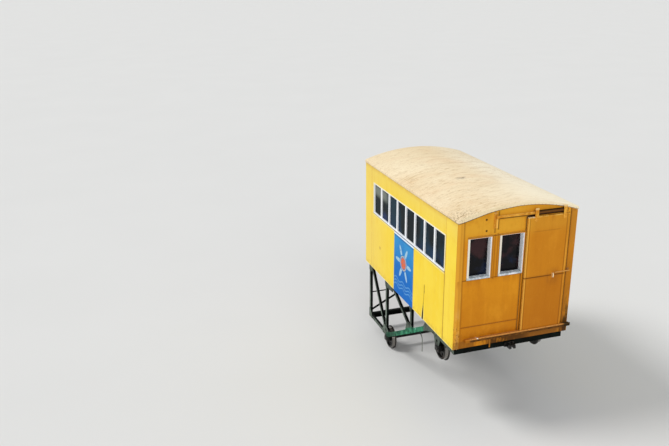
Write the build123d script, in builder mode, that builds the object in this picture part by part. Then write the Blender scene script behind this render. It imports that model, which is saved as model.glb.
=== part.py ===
from build123d import *
from math import atan2, cos, degrees, hypot, radians, sin, sqrt
import os

# Funicular car: a level timber cabin on a riveted wedge truss, for a track that climbs
# towards +X. Millimetres, +Z up, -Y is the side with the banner that faces the viewer.
# The origin lies on the rail heads, midway between the rails, under the middle of the wheelbase.

# Track and running gear
SLOPE = 23.0                # climb of the track, degrees
WHEELBASE = 2612.0          # between the axles, measured along the track
TREAD_RADIUS = 220.0
FLANGE_HEIGHT = 25.0
FLANGE_WIDTH = 26.0
WHEEL_WIDTH = 86.0
AXLE_RADIUS = 45.0
JOURNAL_RADIUS = 35.0
JOURNAL_CLEARANCE = 0.1     # radial
HUB_RADIUS = 78.0
WEB_THICKNESS = 24.0
RIM_THICKNESS = 36.0
BOX_HALF = 65.0             # axle box, half its height
BOX_LENGTH = 150.0
CAP_RADIUS = 50.0           # round cover of the axle box
CAP_THICKNESS = 14.0
WEB_HOLES = 6               # lightening holes in each wheel
WEB_HOLE_RADIUS = 24.0

# Body
BODY_LENGTH = 4166.0
BODY_WIDTH = 2162.0
BODY_OFFSET = -183.0        # middle of the body, from the middle of the wheelbase
SKIRT_Z = 1078.0            # lower edge of the side panels
WALL_HEIGHT = 2205.0        # from the lower edge to the underside of the roof
WALL = 45.0                 # thickness of all walls
FLOOR_RISE = 165.0          # top of the floor above the lower edge
DECK = 40.0                 # floor boards
JOIST = 80.0
JOIST_WIDTH = 70.0
JOIST_COUNT = 11

# Roof
ROOF_RISE = 180.0           # of the underside, from eave to crown
ROOF_THICKNESS = 50.0
ROOF_OVERHANG = 18.0        # past the end walls
EAVE_OVERHANG = 12.0        # past the side walls
EAVE_ROLL = 30.0            # radius of the canvas over the side edges
END_ROLL = 14.0             # and over the end edges
CARLINE_DEPTH = 60.0
CARLINE_WIDTH = 45.0
CARLINE_COUNT = 8

# Side windows: one band of lights on each side
BAND_START = -1619.0        # from the middle of the body
BAND_END = 1698.0
BAND_SILL = 1244.0          # above the lower edge of the side panels
BAND_HEAD = 1892.0
BAND_STILE_LOW = 50.0       # width of the frame at its downhill end
BAND_STILE_HIGH = 25.0
BAND_BOTTOM_RAIL = 24.0
BAND_TOP_RAIL = 24.0
MULLION = 48.0
LIGHTS = 8
FRAME_PROUD = 5.0           # window frames stand out of the wall
SILL_NOSE = 12.0            # the sill stands further out
SILL_NOSE_HEIGHT = 20.0
SIDE_SEAM = 108.0           # joint in the corner panel, from the downhill end of the band
GLASS = 6.0

# Across the end walls, from the right side wall: post, window, post, window; and from the
# left side wall: post, doorway
END_SIDE_POST = 149.0
END_WINDOW_1 = 438.0
END_MID_POST = 125.0
END_WINDOW_2 = 462.0
DOOR_SIDE_POST = 184.0
DOORWAY = 665.0
END_SILL = 1212.0
END_HEAD = 1929.0
END_STILE = 38.0
END_BOTTOM_RAIL = 32.0
END_TOP_RAIL = 18.0
END_LINING = 105.0          # depth of the window frames, which line deep reveals
END_GLASS_INSET = 92.0      # glass behind the face of the frame
CORNER_BOARD = 121.0        # width of the boards at the corners of the end walls
FACING = 6.0                # posts and corner boards stand out of the end walls
GUARD_STRIP = 40.0          # beside the door, under the window
PANEL_SEAM = 375.0          # joint in the waist panel, above the lower edge
SEAM_WIDTH = 6.0
SEAM_DEPTH = 3.0
DRIP_REACH = 10.0           # strips over the end windows
DRIP_DEPTH = 14.0

# Sliding end doors, hung outside the end walls
DOOR_HEAD = 2100.0          # above the lower edge of the side panels
DOOR_TRAVEL = 620.0
LEAF_LAP = 44.0             # of the leaf over each side of the doorway
LEAF_TOP = 2176.0
LEAF_THICKNESS = 35.0
LEAF_STANDOFF = 20.0        # from wall to leaf
LEAF_CLEARANCE = 7.0        # over the ledge and inside its lip
LEAF_SEAM = 1122.0          # joint between the upper and lower half of the leaf
LEAF_RAIL = 105.0           # frame of the leaf, seen from inside
LEAF_SUNK = 12.0            # depth of its panels
HANDLE_IN = 226.0           # from the closing edge of the leaf
HANDLE_Z = 1120.0
HANDLE_PLATE = 44.0         # width of its plate
HANDLE_HEIGHT = 92.0
HANDLE_PLATE_THICKNESS = 3.0
HANDLE_REACH = 30.0
HANDLE_ROUND = 16.0         # outer corners of the pull
HANDLE_BAR = 10.0
HANDLE_BAR_WIDTH = 14.0
HANDLE_END = 8.0            # from the end of the plate to the pull
LATCH_START = 41.0          # from the handle to the latch bar
LATCH_OVER = 100.0          # latch bar past the closing edge
LATCH_RISE = 40.0           # above the joint of the leaf
LATCH_HEIGHT = 16.0
LATCH_THICKNESS = 8.0
KEEPER_WIDTH = 30.0
KEEPER_HEIGHT = 50.0
DOOR_RAIL_Z = 2215.0        # lower edge of the overhead rail
DOOR_RAIL_DEPTH = 45.0
DOOR_RAIL_THICKNESS = 12.0
DOOR_RAIL_SPARE = 95.0      # past the hanger of the open door
DOOR_RAIL_END = 59.0        # past the hanger of the shut door
RAIL_BRACKET = 40.0         # width
RAIL_BRACKET_DROP = 10.0    # its top below the top of the rail
BATTEN_WIDTH = 40.0         # upright batten at the end of the rail
BATTEN_FROM = 2050.0
BATTEN_TO = 2310.0
HANGER_1 = 142.0            # from the opening edge of the leaf
HANGER_2 = 85.0             # from its closing edge
HANGER_WIDTH = 62.0
HANGER_LAP = 52.0           # over the top of the leaf
HANGER_TOP = 2320.0
HANGER_THICKNESS = 6.0
ROLLER_RADIUS = 22.0
ROLLER_WIDTH = 14.0
ROLLER_PIN = 8.0            # radius
HEADER_TOP = 2191.0         # top of the boards over windows and door

# Base ledge under each end door
LEDGE_SHORT = 201.0         # it stops short of the right side
LEDGE_OVER = 19.0           # and passes the left side
LEDGE_THICKNESS = 42.0
LEDGE_LIP = 18.0
LIP_THICKNESS = 8.0
LEDGE_STRAP_FROM = 475.0    # strap under the ledge, from its short end
LEDGE_STRAP_WIDTH = 22.0
LEDGE_STRAP_THICKNESS = 6.0
LEDGE_STRAP_LENGTH = 190.0

# Banner plates on the side panels
BANNER_FROM = -484.0
BANNER_TO = 440.0
BANNER_THICKNESS = 3.0

# Chassis: two trusses under the side walls
TRUSS_INSET = 12.0          # outer face of the truss members, inside the side walls
MEMBER_WIDTH = 50.0         # across the car
POST_DEPTH = 66.0
DIAGONAL_DEPTH = 54.0
CHORD_DEPTH = 66.0
SLOPE_CHORD_DEPTH = 90.0
MEMBER_WALL = 9.0           # plate of the channels
SILL_DEPTH = 105.0
STRINGER_DEPTH = 65.0       # rear stringers under the sills
GUSSET = 8.0
POST_1 = -1973.0            # from the middle of the body
POST_3 = 245.0
DIAGONAL_2 = 237.0          # from the second post to the second diagonal, at the sill
CHORD_TOP = 1121.0          # where the middle of the sloping chord meets the sill
CHORD_DROP = 8.0            # foot of the sloping chord below the nose chord
CROSS_WIDTH = 70.0
CROSS_DEPTH = 110.0
BRACE_DEPTH = 50.0
BRACE_THICKNESS = 10.0
BRACE_PITCH = 14.0          # between the planes of the nose braces
TIE_DEPTH = 22.0
TIE_DROP = 704.0            # thin tie of the nose frame, below the side panels
NODE_GAP = 3.0              # between the ends of members that share a gusset
BOX_GAP = 10.0              # between axle box and sloping chord
PEDESTAL_SPREAD = 55.0      # rear pedestal, wider at the stringer than at the axle box
PEDESTAL_EYE = 24.0         # radius of the hole in it
FIT = 0.3                   # between pieces that only lie against each other

# Rail guard: a bent rod under each sloping chord, ahead of the rear wheel
GUARD_RADIUS = 9.0
GUARD_FROM = 600.0          # where it leaves the chord, from the middle of the body
GUARD_FOOT = 740.0
GUARD_ELBOW_Z = 590.0
GUARD_FOOT_Z = 330.0
GUARD_BEND = 70.0           # radius of its elbow

# Haulage clevis at the uphill end
CLEVIS_BORE = 16.0
CLEVIS_EAR = 22.0
CLEVIS_GAP = 60.0
CLEVIS_RADIUS = 40.0
CLEVIS_REACH = 110.0        # from the cross beam to the bore
CLEVIS_BASE = 20.0
CLEVIS_BASE_WIDTH = 180.0

# Benches along both sides
BENCH_LENGTH = 3300.0
SEAT_HEIGHT = 430.0
SEAT_DEPTH = 390.0
SEAT_BOARD = 35.0
SLATS = 5
SLAT_GAP = 15.0
BENCH_LEGS = 4
BENCH_LEG = 40.0            # thickness
BENCH_LEG_IN = 60.0         # middle of the last leg, from the end of the seat
BENCH_LEG_SHORT = 10.0      # narrower than the seat

# Places worked out from the sizes above
slope = radians(SLOPE)
axle_x = WHEELBASE / 2 * cos(slope)
axle_mid_z = TREAD_RADIUS / cos(slope)
front_axle = (-axle_x, axle_mid_z - WHEELBASE / 2 * sin(slope))
rear_axle = (axle_x, axle_mid_z + WHEELBASE / 2 * sin(slope))

mid_x = BODY_OFFSET
low_x = mid_x - BODY_LENGTH / 2
high_x = mid_x + BODY_LENGTH / 2
half_width = BODY_WIDTH / 2
inner_half = half_width - WALL
truss_out = inner_half - TRUSS_INSET
floor_z = SKIRT_Z + FLOOR_RISE
eave_z = SKIRT_Z + WALL_HEIGHT
sill_top = floor_z - DECK - JOIST
sill_low = sill_top - SILL_DEPTH
sill_mid = (sill_top + sill_low) / 2
truss_in = truss_out - MEMBER_WIDTH
hub_end = truss_in - GUSSET - 6

roof_half = half_width + EAVE_OVERHANG
under_radius = (ROOF_RISE**2 + half_width**2) / (2 * ROOF_RISE)
roof_radius = under_radius + ROOF_THICKNESS
roof_centre_z = eave_z + ROOF_RISE - under_radius
mid_body = Plane.YZ.offset(mid_x)


def soffit(y, gap=FIT):
    """Height under the roof at a place across the car."""
    return roof_centre_z + sqrt((under_radius - gap)**2 - y**2)


def board(x_from, x_to, y_from, y_to, z_from, z_to):
    """A straight board between two corners."""
    with Locations(((x_from + x_to) / 2, (y_from + y_to) / 2, (z_from + z_to) / 2)):
        Box(x_to - x_from, y_to - y_from, z_to - z_from)


def finish(name, part):
    """Label a finished piece and write it."""
    part.part.label = name
    export_step(part.part, f"parts/{name}.step")


os.makedirs("parts", exist_ok=True)


# Running gear

def wheel_profile():
    """Half of a wheelset from the middle of the axle outwards, radius by distance."""
    wheel_in = hub_end - WHEEL_WIDTH
    tread_out = TREAD_RADIUS - 2
    tread_in = TREAD_RADIUS + 1
    flange = TREAD_RADIUS + FLANGE_HEIGHT
    rim_in = TREAD_RADIUS - RIM_THICKNESS
    web_in = wheel_in + 0.4 * WHEEL_WIDTH
    web_out = web_in + WEB_THICKNESS
    return (
        (0, 0), (AXLE_RADIUS, 0), (AXLE_RADIUS, wheel_in - 14), (HUB_RADIUS, wheel_in - 8),
        (HUB_RADIUS + 4, web_in), (rim_in, web_in - 4), (rim_in - 4, wheel_in),
        (flange - 8, wheel_in), (flange, wheel_in + 8), (flange, wheel_in + 14),
        (tread_in, wheel_in + FLANGE_WIDTH), (tread_out, hub_end - 5),
        (tread_out - 5, hub_end), (rim_in - 4, hub_end), (rim_in, web_out + 4),
        (HUB_RADIUS + 4, web_out), (HUB_RADIUS, hub_end), (JOURNAL_RADIUS + 8, hub_end),
        (JOURNAL_RADIUS, hub_end + 3), (JOURNAL_RADIUS, truss_out - 4), (0, truss_out - 4),
    )


def wheelset(name, place):
    """An axle with its two wheels."""
    x, z = place
    with BuildPart() as part:
        with BuildSketch(Plane((x, 0, z), x_dir=(1, 0, 0), z_dir=(0, 0, 1))):
            with BuildLine():
                Polyline(*wheel_profile(), close=True)
            make_face()
        revolve(axis=Axis((x, 0, z), (0, 1, 0)))
        web_middle = (HUB_RADIUS + TREAD_RADIUS - RIM_THICKNESS) / 2
        with BuildSketch(Plane.XZ.offset(-hub_end)) as holes:
            with Locations((x, z)):
                with PolarLocations(web_middle, WEB_HOLES):
                    Circle(WEB_HOLE_RADIUS)
        extrude(holes.sketch, amount=WHEEL_WIDTH, mode=Mode.SUBTRACT)
        mirror(about=Plane.XZ)
    finish(name, part)


wheelset("front_wheelset", front_axle)
wheelset("rear_wheelset", rear_axle)

with BuildPart() as axle_boxes:
    for x, z in (front_axle, rear_axle):
        with BuildSketch(Plane.XZ.offset(truss_in + FIT)):
            with Locations((x, z)):
                RectangleRounded(BOX_LENGTH, 2 * BOX_HALF, 18)
                Circle(JOURNAL_RADIUS + JOURNAL_CLEARANCE, mode=Mode.SUBTRACT)
        extrude(amount=MEMBER_WIDTH - 2 * FIT)
        with BuildSketch(Plane.XZ.offset(truss_out - FIT)):
            with Locations((x, z)):
                Circle(CAP_RADIUS)
        extrude(amount=CAP_THICKNESS, taper=12)
    mirror(about=Plane.XZ)
finish("axle_boxes", axle_boxes)


# Chassis

def channel_bar(start, end, depth):
    """A channel with its web on the outer face of the truss, from start to end (x, z)."""
    run = hypot(end[0] - start[0], end[1] - start[1])
    turn = degrees(atan2(end[1] - start[1], end[0] - start[0]))
    middle = ((start[0] + end[0]) / 2, (start[1] + end[1]) / 2)
    with BuildSketch(Plane.XZ.offset(truss_in)) as outline:
        with Locations(middle):
            Rectangle(run, depth, rotation=turn)
    extrude(outline.sketch, amount=MEMBER_WIDTH)
    with BuildSketch(Plane.XZ.offset(truss_in)) as hollow:
        with Locations(middle):
            Rectangle(run + 2, depth - 2 * MEMBER_WALL, rotation=turn)
    extrude(hollow.sketch, amount=MEMBER_WIDTH - MEMBER_WALL, mode=Mode.SUBTRACT)


def held_back(start, end, at_start, at_end):
    """The line from start to end, shortened at both ends."""
    run = hypot(end[0] - start[0], end[1] - start[1])
    unit = ((end[0] - start[0]) / run, (end[1] - start[1]) / run)
    return (
        (start[0] + unit[0] * at_start, start[1] + unit[1] * at_start),
        (end[0] - unit[0] * at_end, end[1] - unit[1] * at_end),
    )


def end_room(own_turn, own_depth, other_turn, other_depth):
    """How far from a shared node the square end of a member clears another member."""
    between = radians(own_turn - other_turn)
    across = other_depth / 2 + own_depth / 2 * abs(cos(between))
    return across / abs(sin(between)) + NODE_GAP


chord_z = front_axle[1] + BOX_HALF + CHORD_DEPTH / 2 + FIT
post_1_x = mid_x + POST_1
post_2_x = front_axle[0]
post_3_x = mid_x + POST_3
foot_1 = (post_1_x, chord_z)
foot_2 = (post_2_x, chord_z)
chord_end = (mid_x + CHORD_TOP, sill_low)
chord_turn = atan2(sill_low - chord_z, chord_end[0] - post_2_x)
half_slant = SLOPE_CHORD_DEPTH / 2 * sin(chord_turn)
chord_foot = (post_2_x + BOX_LENGTH / 2 + BOX_GAP - half_slant, chord_z - CHORD_DROP)
rise = (chord_end[1] - chord_foot[1]) / (chord_end[0] - chord_foot[0])
foot_3 = (post_3_x, chord_foot[1] + rise * (post_3_x - chord_foot[0]))
under_sill = Plane.XY.offset(sill_low - FIT)

with BuildPart() as sill_beams:
    channel_bar((low_x + WALL + FIT, sill_mid), (high_x - WALL - FIT, sill_mid), SILL_DEPTH)
    mirror(about=Plane.XZ)
finish("sill_beams", sill_beams)

# Posts stand between the bottom chord and the sill
chord_half_up = SLOPE_CHORD_DEPTH / 2 / cos(chord_turn)
with BuildPart() as truss_posts:
    for x, z in (
        (foot_1[0], chord_z + CHORD_DEPTH / 2 + NODE_GAP),
        (foot_2[0], chord_z + CHORD_DEPTH / 2 + NODE_GAP),
        (foot_3[0], foot_3[1] + chord_half_up + POST_DEPTH / 2 * rise + NODE_GAP),
    ):
        channel_bar((x, z), (x, sill_low - FIT), POST_DEPTH)
    mirror(about=Plane.XZ)
finish("truss_posts", truss_posts)

# Diagonals run from beside the top of one post to the foot of the next
with BuildPart() as truss_diagonals:
    for top, foot, under_turn, under_depth in (
        ((post_1_x + POST_DEPTH, sill_mid), foot_2, 0, CHORD_DEPTH),
        ((post_2_x + DIAGONAL_2, sill_mid), foot_3, degrees(chord_turn), SLOPE_CHORD_DEPTH),
    ):
        turn = degrees(atan2(foot[1] - top[1], foot[0] - top[0]))
        at_foot = max(
            end_room(turn, DIAGONAL_DEPTH, under_turn, under_depth),
            end_room(turn, DIAGONAL_DEPTH, 90, POST_DEPTH),
        )
        channel_bar(*held_back(top, foot, 0, at_foot), DIAGONAL_DEPTH)
    split(bisect_by=under_sill, keep=Keep.BOTTOM)
    mirror(about=Plane.XZ)
finish("truss_diagonals", truss_diagonals)

with BuildPart() as nose_chords:
    nose_end_x = chord_foot[0] - half_slant - NODE_GAP
    channel_bar((post_1_x - POST_DEPTH / 2, chord_z), (nose_end_x, chord_z), CHORD_DEPTH)
    mirror(about=Plane.XZ)
finish("nose_chords", nose_chords)

# Each sloping chord carries a rail guard, whose head passes through its lower flange
guard_x = mid_x + GUARD_FROM
guard_head_z = chord_foot[1] + rise * (guard_x - chord_foot[0])
with BuildPart() as slope_chords:
    channel_bar(*held_back(chord_foot, chord_end, 0, -2 * SLOPE_CHORD_DEPTH), SLOPE_CHORD_DEPTH)
    split(bisect_by=under_sill, keep=Keep.BOTTOM)
    with BuildLine(Plane.XZ.offset(truss_out - MEMBER_WIDTH / 2)) as guard_line:
        FilletPolyline((guard_x, guard_head_z), (mid_x + GUARD_FOOT, GUARD_ELBOW_Z),
                       (mid_x + GUARD_FOOT, GUARD_FOOT_Z), radius=GUARD_BEND)
    with BuildSketch(Plane(guard_line.line @ 0, z_dir=guard_line.line % 0)) as rod:
        Circle(GUARD_RADIUS)
    sweep(rod.sketch, path=guard_line.line)
    mirror(about=Plane.XZ)
finish("slope_chords", slope_chords)


def gusset_at(corners):
    """A riveted plate on the outer face of the truss, by its corners (x, z)."""
    with BuildSketch(Plane.XZ.offset(truss_out)) as plate:
        with BuildLine():
            Polyline(*corners, close=True)
        make_face()
    extrude(plate.sketch, amount=GUSSET)


half = CHORD_DEPTH / 2
with BuildPart() as gusset_plates:
    x, z = foot_1
    gusset_at(((x - half, z - half), (x + 150, z - half), (x + 150, z + half),
               (x + half, z + 170), (x - half, z + 170)))
    x, z = foot_2
    gusset_at(((x - 170, z - half), (x + 62, z - half), (x + 200, z + 45), (x + 160, z + 125),
               (x + half, z + 190), (x - 120, z + 190), (x - 170, z + half)))
    x, z = foot_3
    gusset_at(((x - 190, z - 165), (x + 150, z + 32), (x + 112, z + 105),
               (x + half, z + 160), (x - half, z + 160), (x - 165, z + 125), (x - 235, z - 85)))
    x, z = post_1_x, sill_low
    gusset_at(((x - half, z - 110), (x + half, z - 150), (x + 150, z - 90), (x + 190, z + 80),
               (x - half, z + 80)))
    x, z = post_2_x, sill_low
    gusset_at(((x - half, z - 120), (x + half, z - 120), (x + 360, z - 90), (x + 380, z + 80),
               (x - 90, z + 80)))
    x, z = post_3_x, sill_low
    gusset_at(((x - half, z - 90), (x + half, z - 90), (x + 110, z + 80), (x - 110, z + 80)))
    x, z = chord_end
    gusset_at(((x - 230, z - 175), (x + 70, z - STRINGER_DEPTH), (x + 240, z - STRINGER_DEPTH),
               (x + 240, z + 80), (x - 170, z + 80), (x - 290, z - 110)))
    mirror(about=Plane.XZ)
finish("gusset_plates", gusset_plates)


def cross_beam(x, z_top, depth, web_side=-1):
    """A channel across the car between the two trusses, its web towards -X or +X."""
    reach = truss_in - FIT
    board(x - CROSS_WIDTH / 2, x + CROSS_WIDTH / 2, -reach, reach, z_top - depth, z_top)
    inner = depth - 2 * MEMBER_WALL
    with Locations((x - web_side * MEMBER_WALL, 0, z_top - depth / 2)):
        Box(CROSS_WIDTH, 2 * reach + 2, inner, mode=Mode.SUBTRACT)


tail_x = high_x - WALL - CROSS_WIDTH / 2 - FIT
stringer_low = sill_low - STRINGER_DEPTH
with BuildPart() as cross_beams:
    cross_beam(post_1_x, chord_z + half, CROSS_DEPTH)
    cross_beam(post_1_x, sill_top - FIT, CROSS_DEPTH)
    cross_beam(post_2_x, sill_top - FIT, CROSS_DEPTH)
    cross_beam(post_3_x, sill_top - FIT, CROSS_DEPTH)
    cross_beam(mid_x + CHORD_TOP, sill_top - FIT, CROSS_DEPTH)
    cross_beam(tail_x, sill_top - FIT, sill_top - FIT - stringer_low, web_side=1)
finish("cross_beams", cross_beams)

# Cross bracing of the nose frame: two crossed flats and a thin tie, each in its own plane
brace_low = chord_z + half + 60
brace_high = sill_low - 60
brace_reach = truss_out - MEMBER_WALL - FIT
with BuildPart() as nose_braces:
    for shift, z_right, z_left, depth in (
        (-BRACE_PITCH, brace_low, brace_high, BRACE_DEPTH),
        (0, brace_high, brace_low, BRACE_DEPTH),
        (BRACE_PITCH, SKIRT_Z - TIE_DROP, SKIRT_Z - TIE_DROP, TIE_DEPTH),
    ):
        with BuildSketch(Plane.YZ.offset(post_1_x + shift - BRACE_THICKNESS / 2)) as flat:
            with BuildLine():
                Polyline((-brace_reach, z_right - depth / 2), (brace_reach, z_left - depth / 2),
                         (brace_reach, z_left + depth / 2), (-brace_reach, z_right + depth / 2),
                         close=True)
            make_face()
        extrude(amount=BRACE_THICKNESS)
finish("nose_braces", nose_braces)

# Each rear pedestal is a pan with a stringer along the sill, open towards the middle of the car
with BuildPart() as rear_pedestals:
    x, z = rear_axle
    box_top = z + BOX_HALF + FIT
    pan_foot = BOX_LENGTH / 2
    pan_top = pan_foot + PEDESTAL_SPREAD
    stringer_start = chord_end[0] + SLOPE_CHORD_DEPTH / 2 / sin(chord_turn) + NODE_GAP
    stringer_end = high_x - WALL - FIT
    with BuildSketch(Plane.XZ.offset(truss_in)) as outline:
        with BuildLine():
            Polyline((stringer_start, sill_low - FIT), (stringer_end, sill_low - FIT),
                     (stringer_end, stringer_low), (x + pan_top, stringer_low), (x + pan_foot, box_top),
                     (x - pan_foot, box_top), (x - pan_top, stringer_low), (stringer_start, stringer_low),
                     close=True)
        make_face()
    extrude(amount=MEMBER_WIDTH)
    with BuildSketch(Plane.XZ.offset(truss_in)) as pocket:
        add(outline.sketch_local)
        offset(amount=-MEMBER_WALL)
    extrude(pocket.sketch, amount=MEMBER_WIDTH - MEMBER_WALL, mode=Mode.SUBTRACT)
    with BuildSketch(Plane.XZ.offset(truss_in)) as eye:
        with Locations((x, (stringer_low + box_top) / 2)):
            Circle(PEDESTAL_EYE)
    extrude(eye.sketch, amount=MEMBER_WIDTH, mode=Mode.SUBTRACT)
    mirror(about=Plane.XZ)
finish("rear_pedestals", rear_pedestals)

with BuildPart() as haulage_clevis:
    base_x = tail_x + CROSS_WIDTH / 2
    bore_z = (sill_low + stringer_low) / 2
    for side in (-1, 1):
        ear_y = side * (CLEVIS_GAP + CLEVIS_EAR) / 2
        with BuildSketch(Plane.XZ.offset(-ear_y - CLEVIS_EAR / 2)):
            with Locations((base_x + CLEVIS_REACH, bore_z)):
                Circle(CLEVIS_RADIUS)
            with Locations((base_x + CLEVIS_REACH / 2, bore_z)):
                Rectangle(CLEVIS_REACH, 2 * CLEVIS_RADIUS)
            with Locations((base_x + CLEVIS_REACH, bore_z)):
                Circle(CLEVIS_BORE, mode=Mode.SUBTRACT)
        extrude(amount=CLEVIS_EAR)
    board(base_x, base_x + CLEVIS_BASE, -CLEVIS_BASE_WIDTH / 2, CLEVIS_BASE_WIDTH / 2,
          bore_z - CLEVIS_RADIUS, bore_z + CLEVIS_RADIUS)
finish("haulage_clevis", haulage_clevis)


# Floor

with BuildPart() as floor_joists:
    first = low_x + WALL + JOIST_WIDTH
    pitch = (BODY_LENGTH - 2 * WALL - 2 * JOIST_WIDTH) / (JOIST_COUNT - 1)
    for index in range(JOIST_COUNT):
        x = first + index * pitch
        board(x - JOIST_WIDTH / 2, x + JOIST_WIDTH / 2, -inner_half, inner_half,
              sill_top, sill_top + JOIST)
finish("floor_joists", floor_joists)

with BuildPart() as floor_deck:
    board(low_x + WALL, high_x - WALL, -inner_half, inner_half, floor_z - DECK, floor_z)
finish("floor_deck", floor_deck)


# Side walls

band_low_x = mid_x + BAND_START
band_high_x = mid_x + BAND_END
band_sill_z = SKIRT_Z + BAND_SILL
band_head_z = SKIRT_Z + BAND_HEAD


def upright_panel(x_from, x_to, z_from):
    """A side panel from z_from up to the roof, its top bevelled to lie under it."""
    with BuildSketch(Plane.YZ.offset(x_from)) as section:
        with BuildLine():
            Polyline((-half_width, z_from), (-inner_half, z_from), (-inner_half, soffit(inner_half)),
                     (-half_width, soffit(half_width)), close=True)
        make_face()
    extrude(section.sketch, amount=x_to - x_from)


with BuildPart() as right_waist_panel:
    board(band_low_x, band_high_x, -half_width, -inner_half, SKIRT_Z, band_sill_z)
finish("right_waist_panel", right_waist_panel)

with BuildPart() as left_waist_panel:
    mirror(right_waist_panel.part, about=Plane.XZ)
finish("left_waist_panel", left_waist_panel)

with BuildPart() as side_header_panels:
    upright_panel(band_low_x, band_high_x, band_head_z)
    mirror(about=Plane.XZ)
finish("side_header_panels", side_header_panels)

with BuildPart() as corner_panels:
    upright_panel(low_x, band_low_x, SKIRT_Z)
    upright_panel(band_high_x, high_x, SKIRT_Z)
    for x in (band_low_x - SIDE_SEAM, band_high_x + SEAM_WIDTH / 2):
        with Locations((x, -half_width, SKIRT_Z + WALL_HEIGHT / 2)):
            Box(SEAM_WIDTH, 2 * SEAM_DEPTH, WALL_HEIGHT + 2 * CARLINE_DEPTH, mode=Mode.SUBTRACT)
    mirror(about=Plane.XZ)
finish("corner_panels", corner_panels)

# Side window bands
glass_start = BAND_START + BAND_STILE_LOW
glass_run = BAND_END - BAND_STILE_HIGH - glass_start
light = (glass_run - (LIGHTS - 1) * MULLION) / LIGHTS
light_height = BAND_HEAD - BAND_SILL - BAND_BOTTOM_RAIL - BAND_TOP_RAIL
lights_mid = (
    mid_x + glass_start + glass_run / 2,
    band_sill_z + BAND_BOTTOM_RAIL + light_height / 2,
)
with BuildPart() as right_window_frame:
    with BuildSketch(Plane.XZ.offset(inner_half)):
        with Locations(((band_low_x + band_high_x) / 2, (band_sill_z + band_head_z) / 2)):
            Rectangle(BAND_END - BAND_START, BAND_HEAD - BAND_SILL)
        with Locations(lights_mid):
            with GridLocations(light + MULLION, 0, LIGHTS, 1):
                Rectangle(light, light_height, mode=Mode.SUBTRACT)
    extrude(amount=WALL + FRAME_PROUD)
    board(band_low_x, band_high_x, -half_width - SILL_NOSE, -half_width,
          band_sill_z, band_sill_z + SILL_NOSE_HEIGHT)
finish("right_window_frame", right_window_frame)

with BuildPart() as left_window_frame:
    mirror(right_window_frame.part, about=Plane.XZ)
finish("left_window_frame", left_window_frame)

with BuildPart() as side_window_glass:
    with BuildSketch(Plane.XZ.offset(inner_half + WALL / 2 - GLASS / 2)):
        with Locations(lights_mid):
            with GridLocations(light + MULLION, 0, LIGHTS, 1):
                Rectangle(light, light_height)
    extrude(amount=GLASS)
    mirror(about=Plane.XZ)
finish("side_window_glass", side_window_glass)

with BuildPart() as side_banners:
    board(mid_x + BANNER_FROM, mid_x + BANNER_TO, -half_width - BANNER_THICKNESS, -half_width,
          SKIRT_Z, band_sill_z)
    mirror(about=Plane.XZ)
finish("side_banners", side_banners)


# End walls, made for the uphill end and mirrored for the other

wall_in = high_x - WALL
end_sill_z = SKIRT_Z + END_SILL
end_head_z = SKIRT_Z + END_HEAD
header_z = SKIRT_Z + HEADER_TOP
window_1 = (-inner_half + END_SIDE_POST, -inner_half + END_SIDE_POST + END_WINDOW_1)
window_2 = (window_1[1] + END_MID_POST, window_1[1] + END_MID_POST + END_WINDOW_2)
door_to = inner_half - DOOR_SIDE_POST
door_from = door_to - DOORWAY
leaf_from = door_from - LEAF_LAP
leaf_to = door_to + LEAF_LAP
handle_y = leaf_to - HANDLE_IN
latch_to = leaf_to + LATCH_OVER
hangers = (leaf_from + HANGER_1, leaf_to - HANGER_2)
door_rail_from = hangers[0] - DOOR_TRAVEL - DOOR_RAIL_SPARE
door_rail_to = hangers[1] + DOOR_RAIL_END
ledge_from = -half_width + LEDGE_SHORT
ledge_to = half_width + LEDGE_OVER
seam_z = SKIRT_Z + LEAF_SEAM
latch_z = seam_z + LATCH_RISE

with BuildPart() as end_skirt_boards:
    board(wall_in, high_x, -inner_half, inner_half, SKIRT_Z, floor_z)
    mirror(about=mid_body)
finish("end_skirt_boards", end_skirt_boards)

corner_y = half_width - CORNER_BOARD
ledge_low = floor_z - LEDGE_THICKNESS
with BuildPart() as uphill_wall_posts:
    for y_from, y_to, z_from, z_to, facing in (
        (-inner_half, window_1[0], floor_z, header_z, 0),
        (window_1[1], window_2[0], end_sill_z, end_head_z, FACING),
        (window_2[1], door_from, floor_z, header_z, FACING),
        (door_to, inner_half, floor_z, header_z, 0),
    ):
        board(wall_in, high_x + facing, y_from, y_to, z_from, z_to)
    for y_from, y_to, z_from, z_to in (
        (-half_width, -corner_y, SKIRT_Z, header_z),
        (window_2[1] - GUARD_STRIP, window_2[1], floor_z, end_sill_z),
        (corner_y, half_width, floor_z, header_z),
        (corner_y, half_width, SKIRT_Z, ledge_low),
    ):
        board(high_x, high_x + FACING, y_from, y_to, z_from, z_to)
    board(high_x + FACING, high_x + LEAF_STANDOFF + LEAF_THICKNESS - FACING,
          latch_to - KEEPER_WIDTH, latch_to, latch_z - KEEPER_HEIGHT / 2, latch_z + KEEPER_HEIGHT / 2)
finish("uphill_wall_posts", uphill_wall_posts)

with BuildPart() as uphill_waist_panel:
    board(wall_in, high_x, window_1[0], window_2[1], floor_z, end_sill_z)
    with Locations((high_x, (window_1[0] + window_2[1]) / 2, SKIRT_Z + PANEL_SEAM)):
        Box(2 * SEAM_DEPTH, window_2[1] - window_1[0], SEAM_WIDTH, mode=Mode.SUBTRACT)
finish("uphill_waist_panel", uphill_waist_panel)

with BuildPart() as uphill_header_boards:
    board(wall_in, high_x, window_1[0], window_2[1], end_head_z, header_z)
    for y_from, y_to in (window_1, window_2):
        board(high_x, high_x + DRIP_REACH, y_from, y_to, end_head_z, end_head_z + DRIP_DEPTH)
    board(wall_in, high_x, door_from, door_to, SKIRT_Z + DOOR_HEAD, header_z)
finish("uphill_header_boards", uphill_header_boards)

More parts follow.
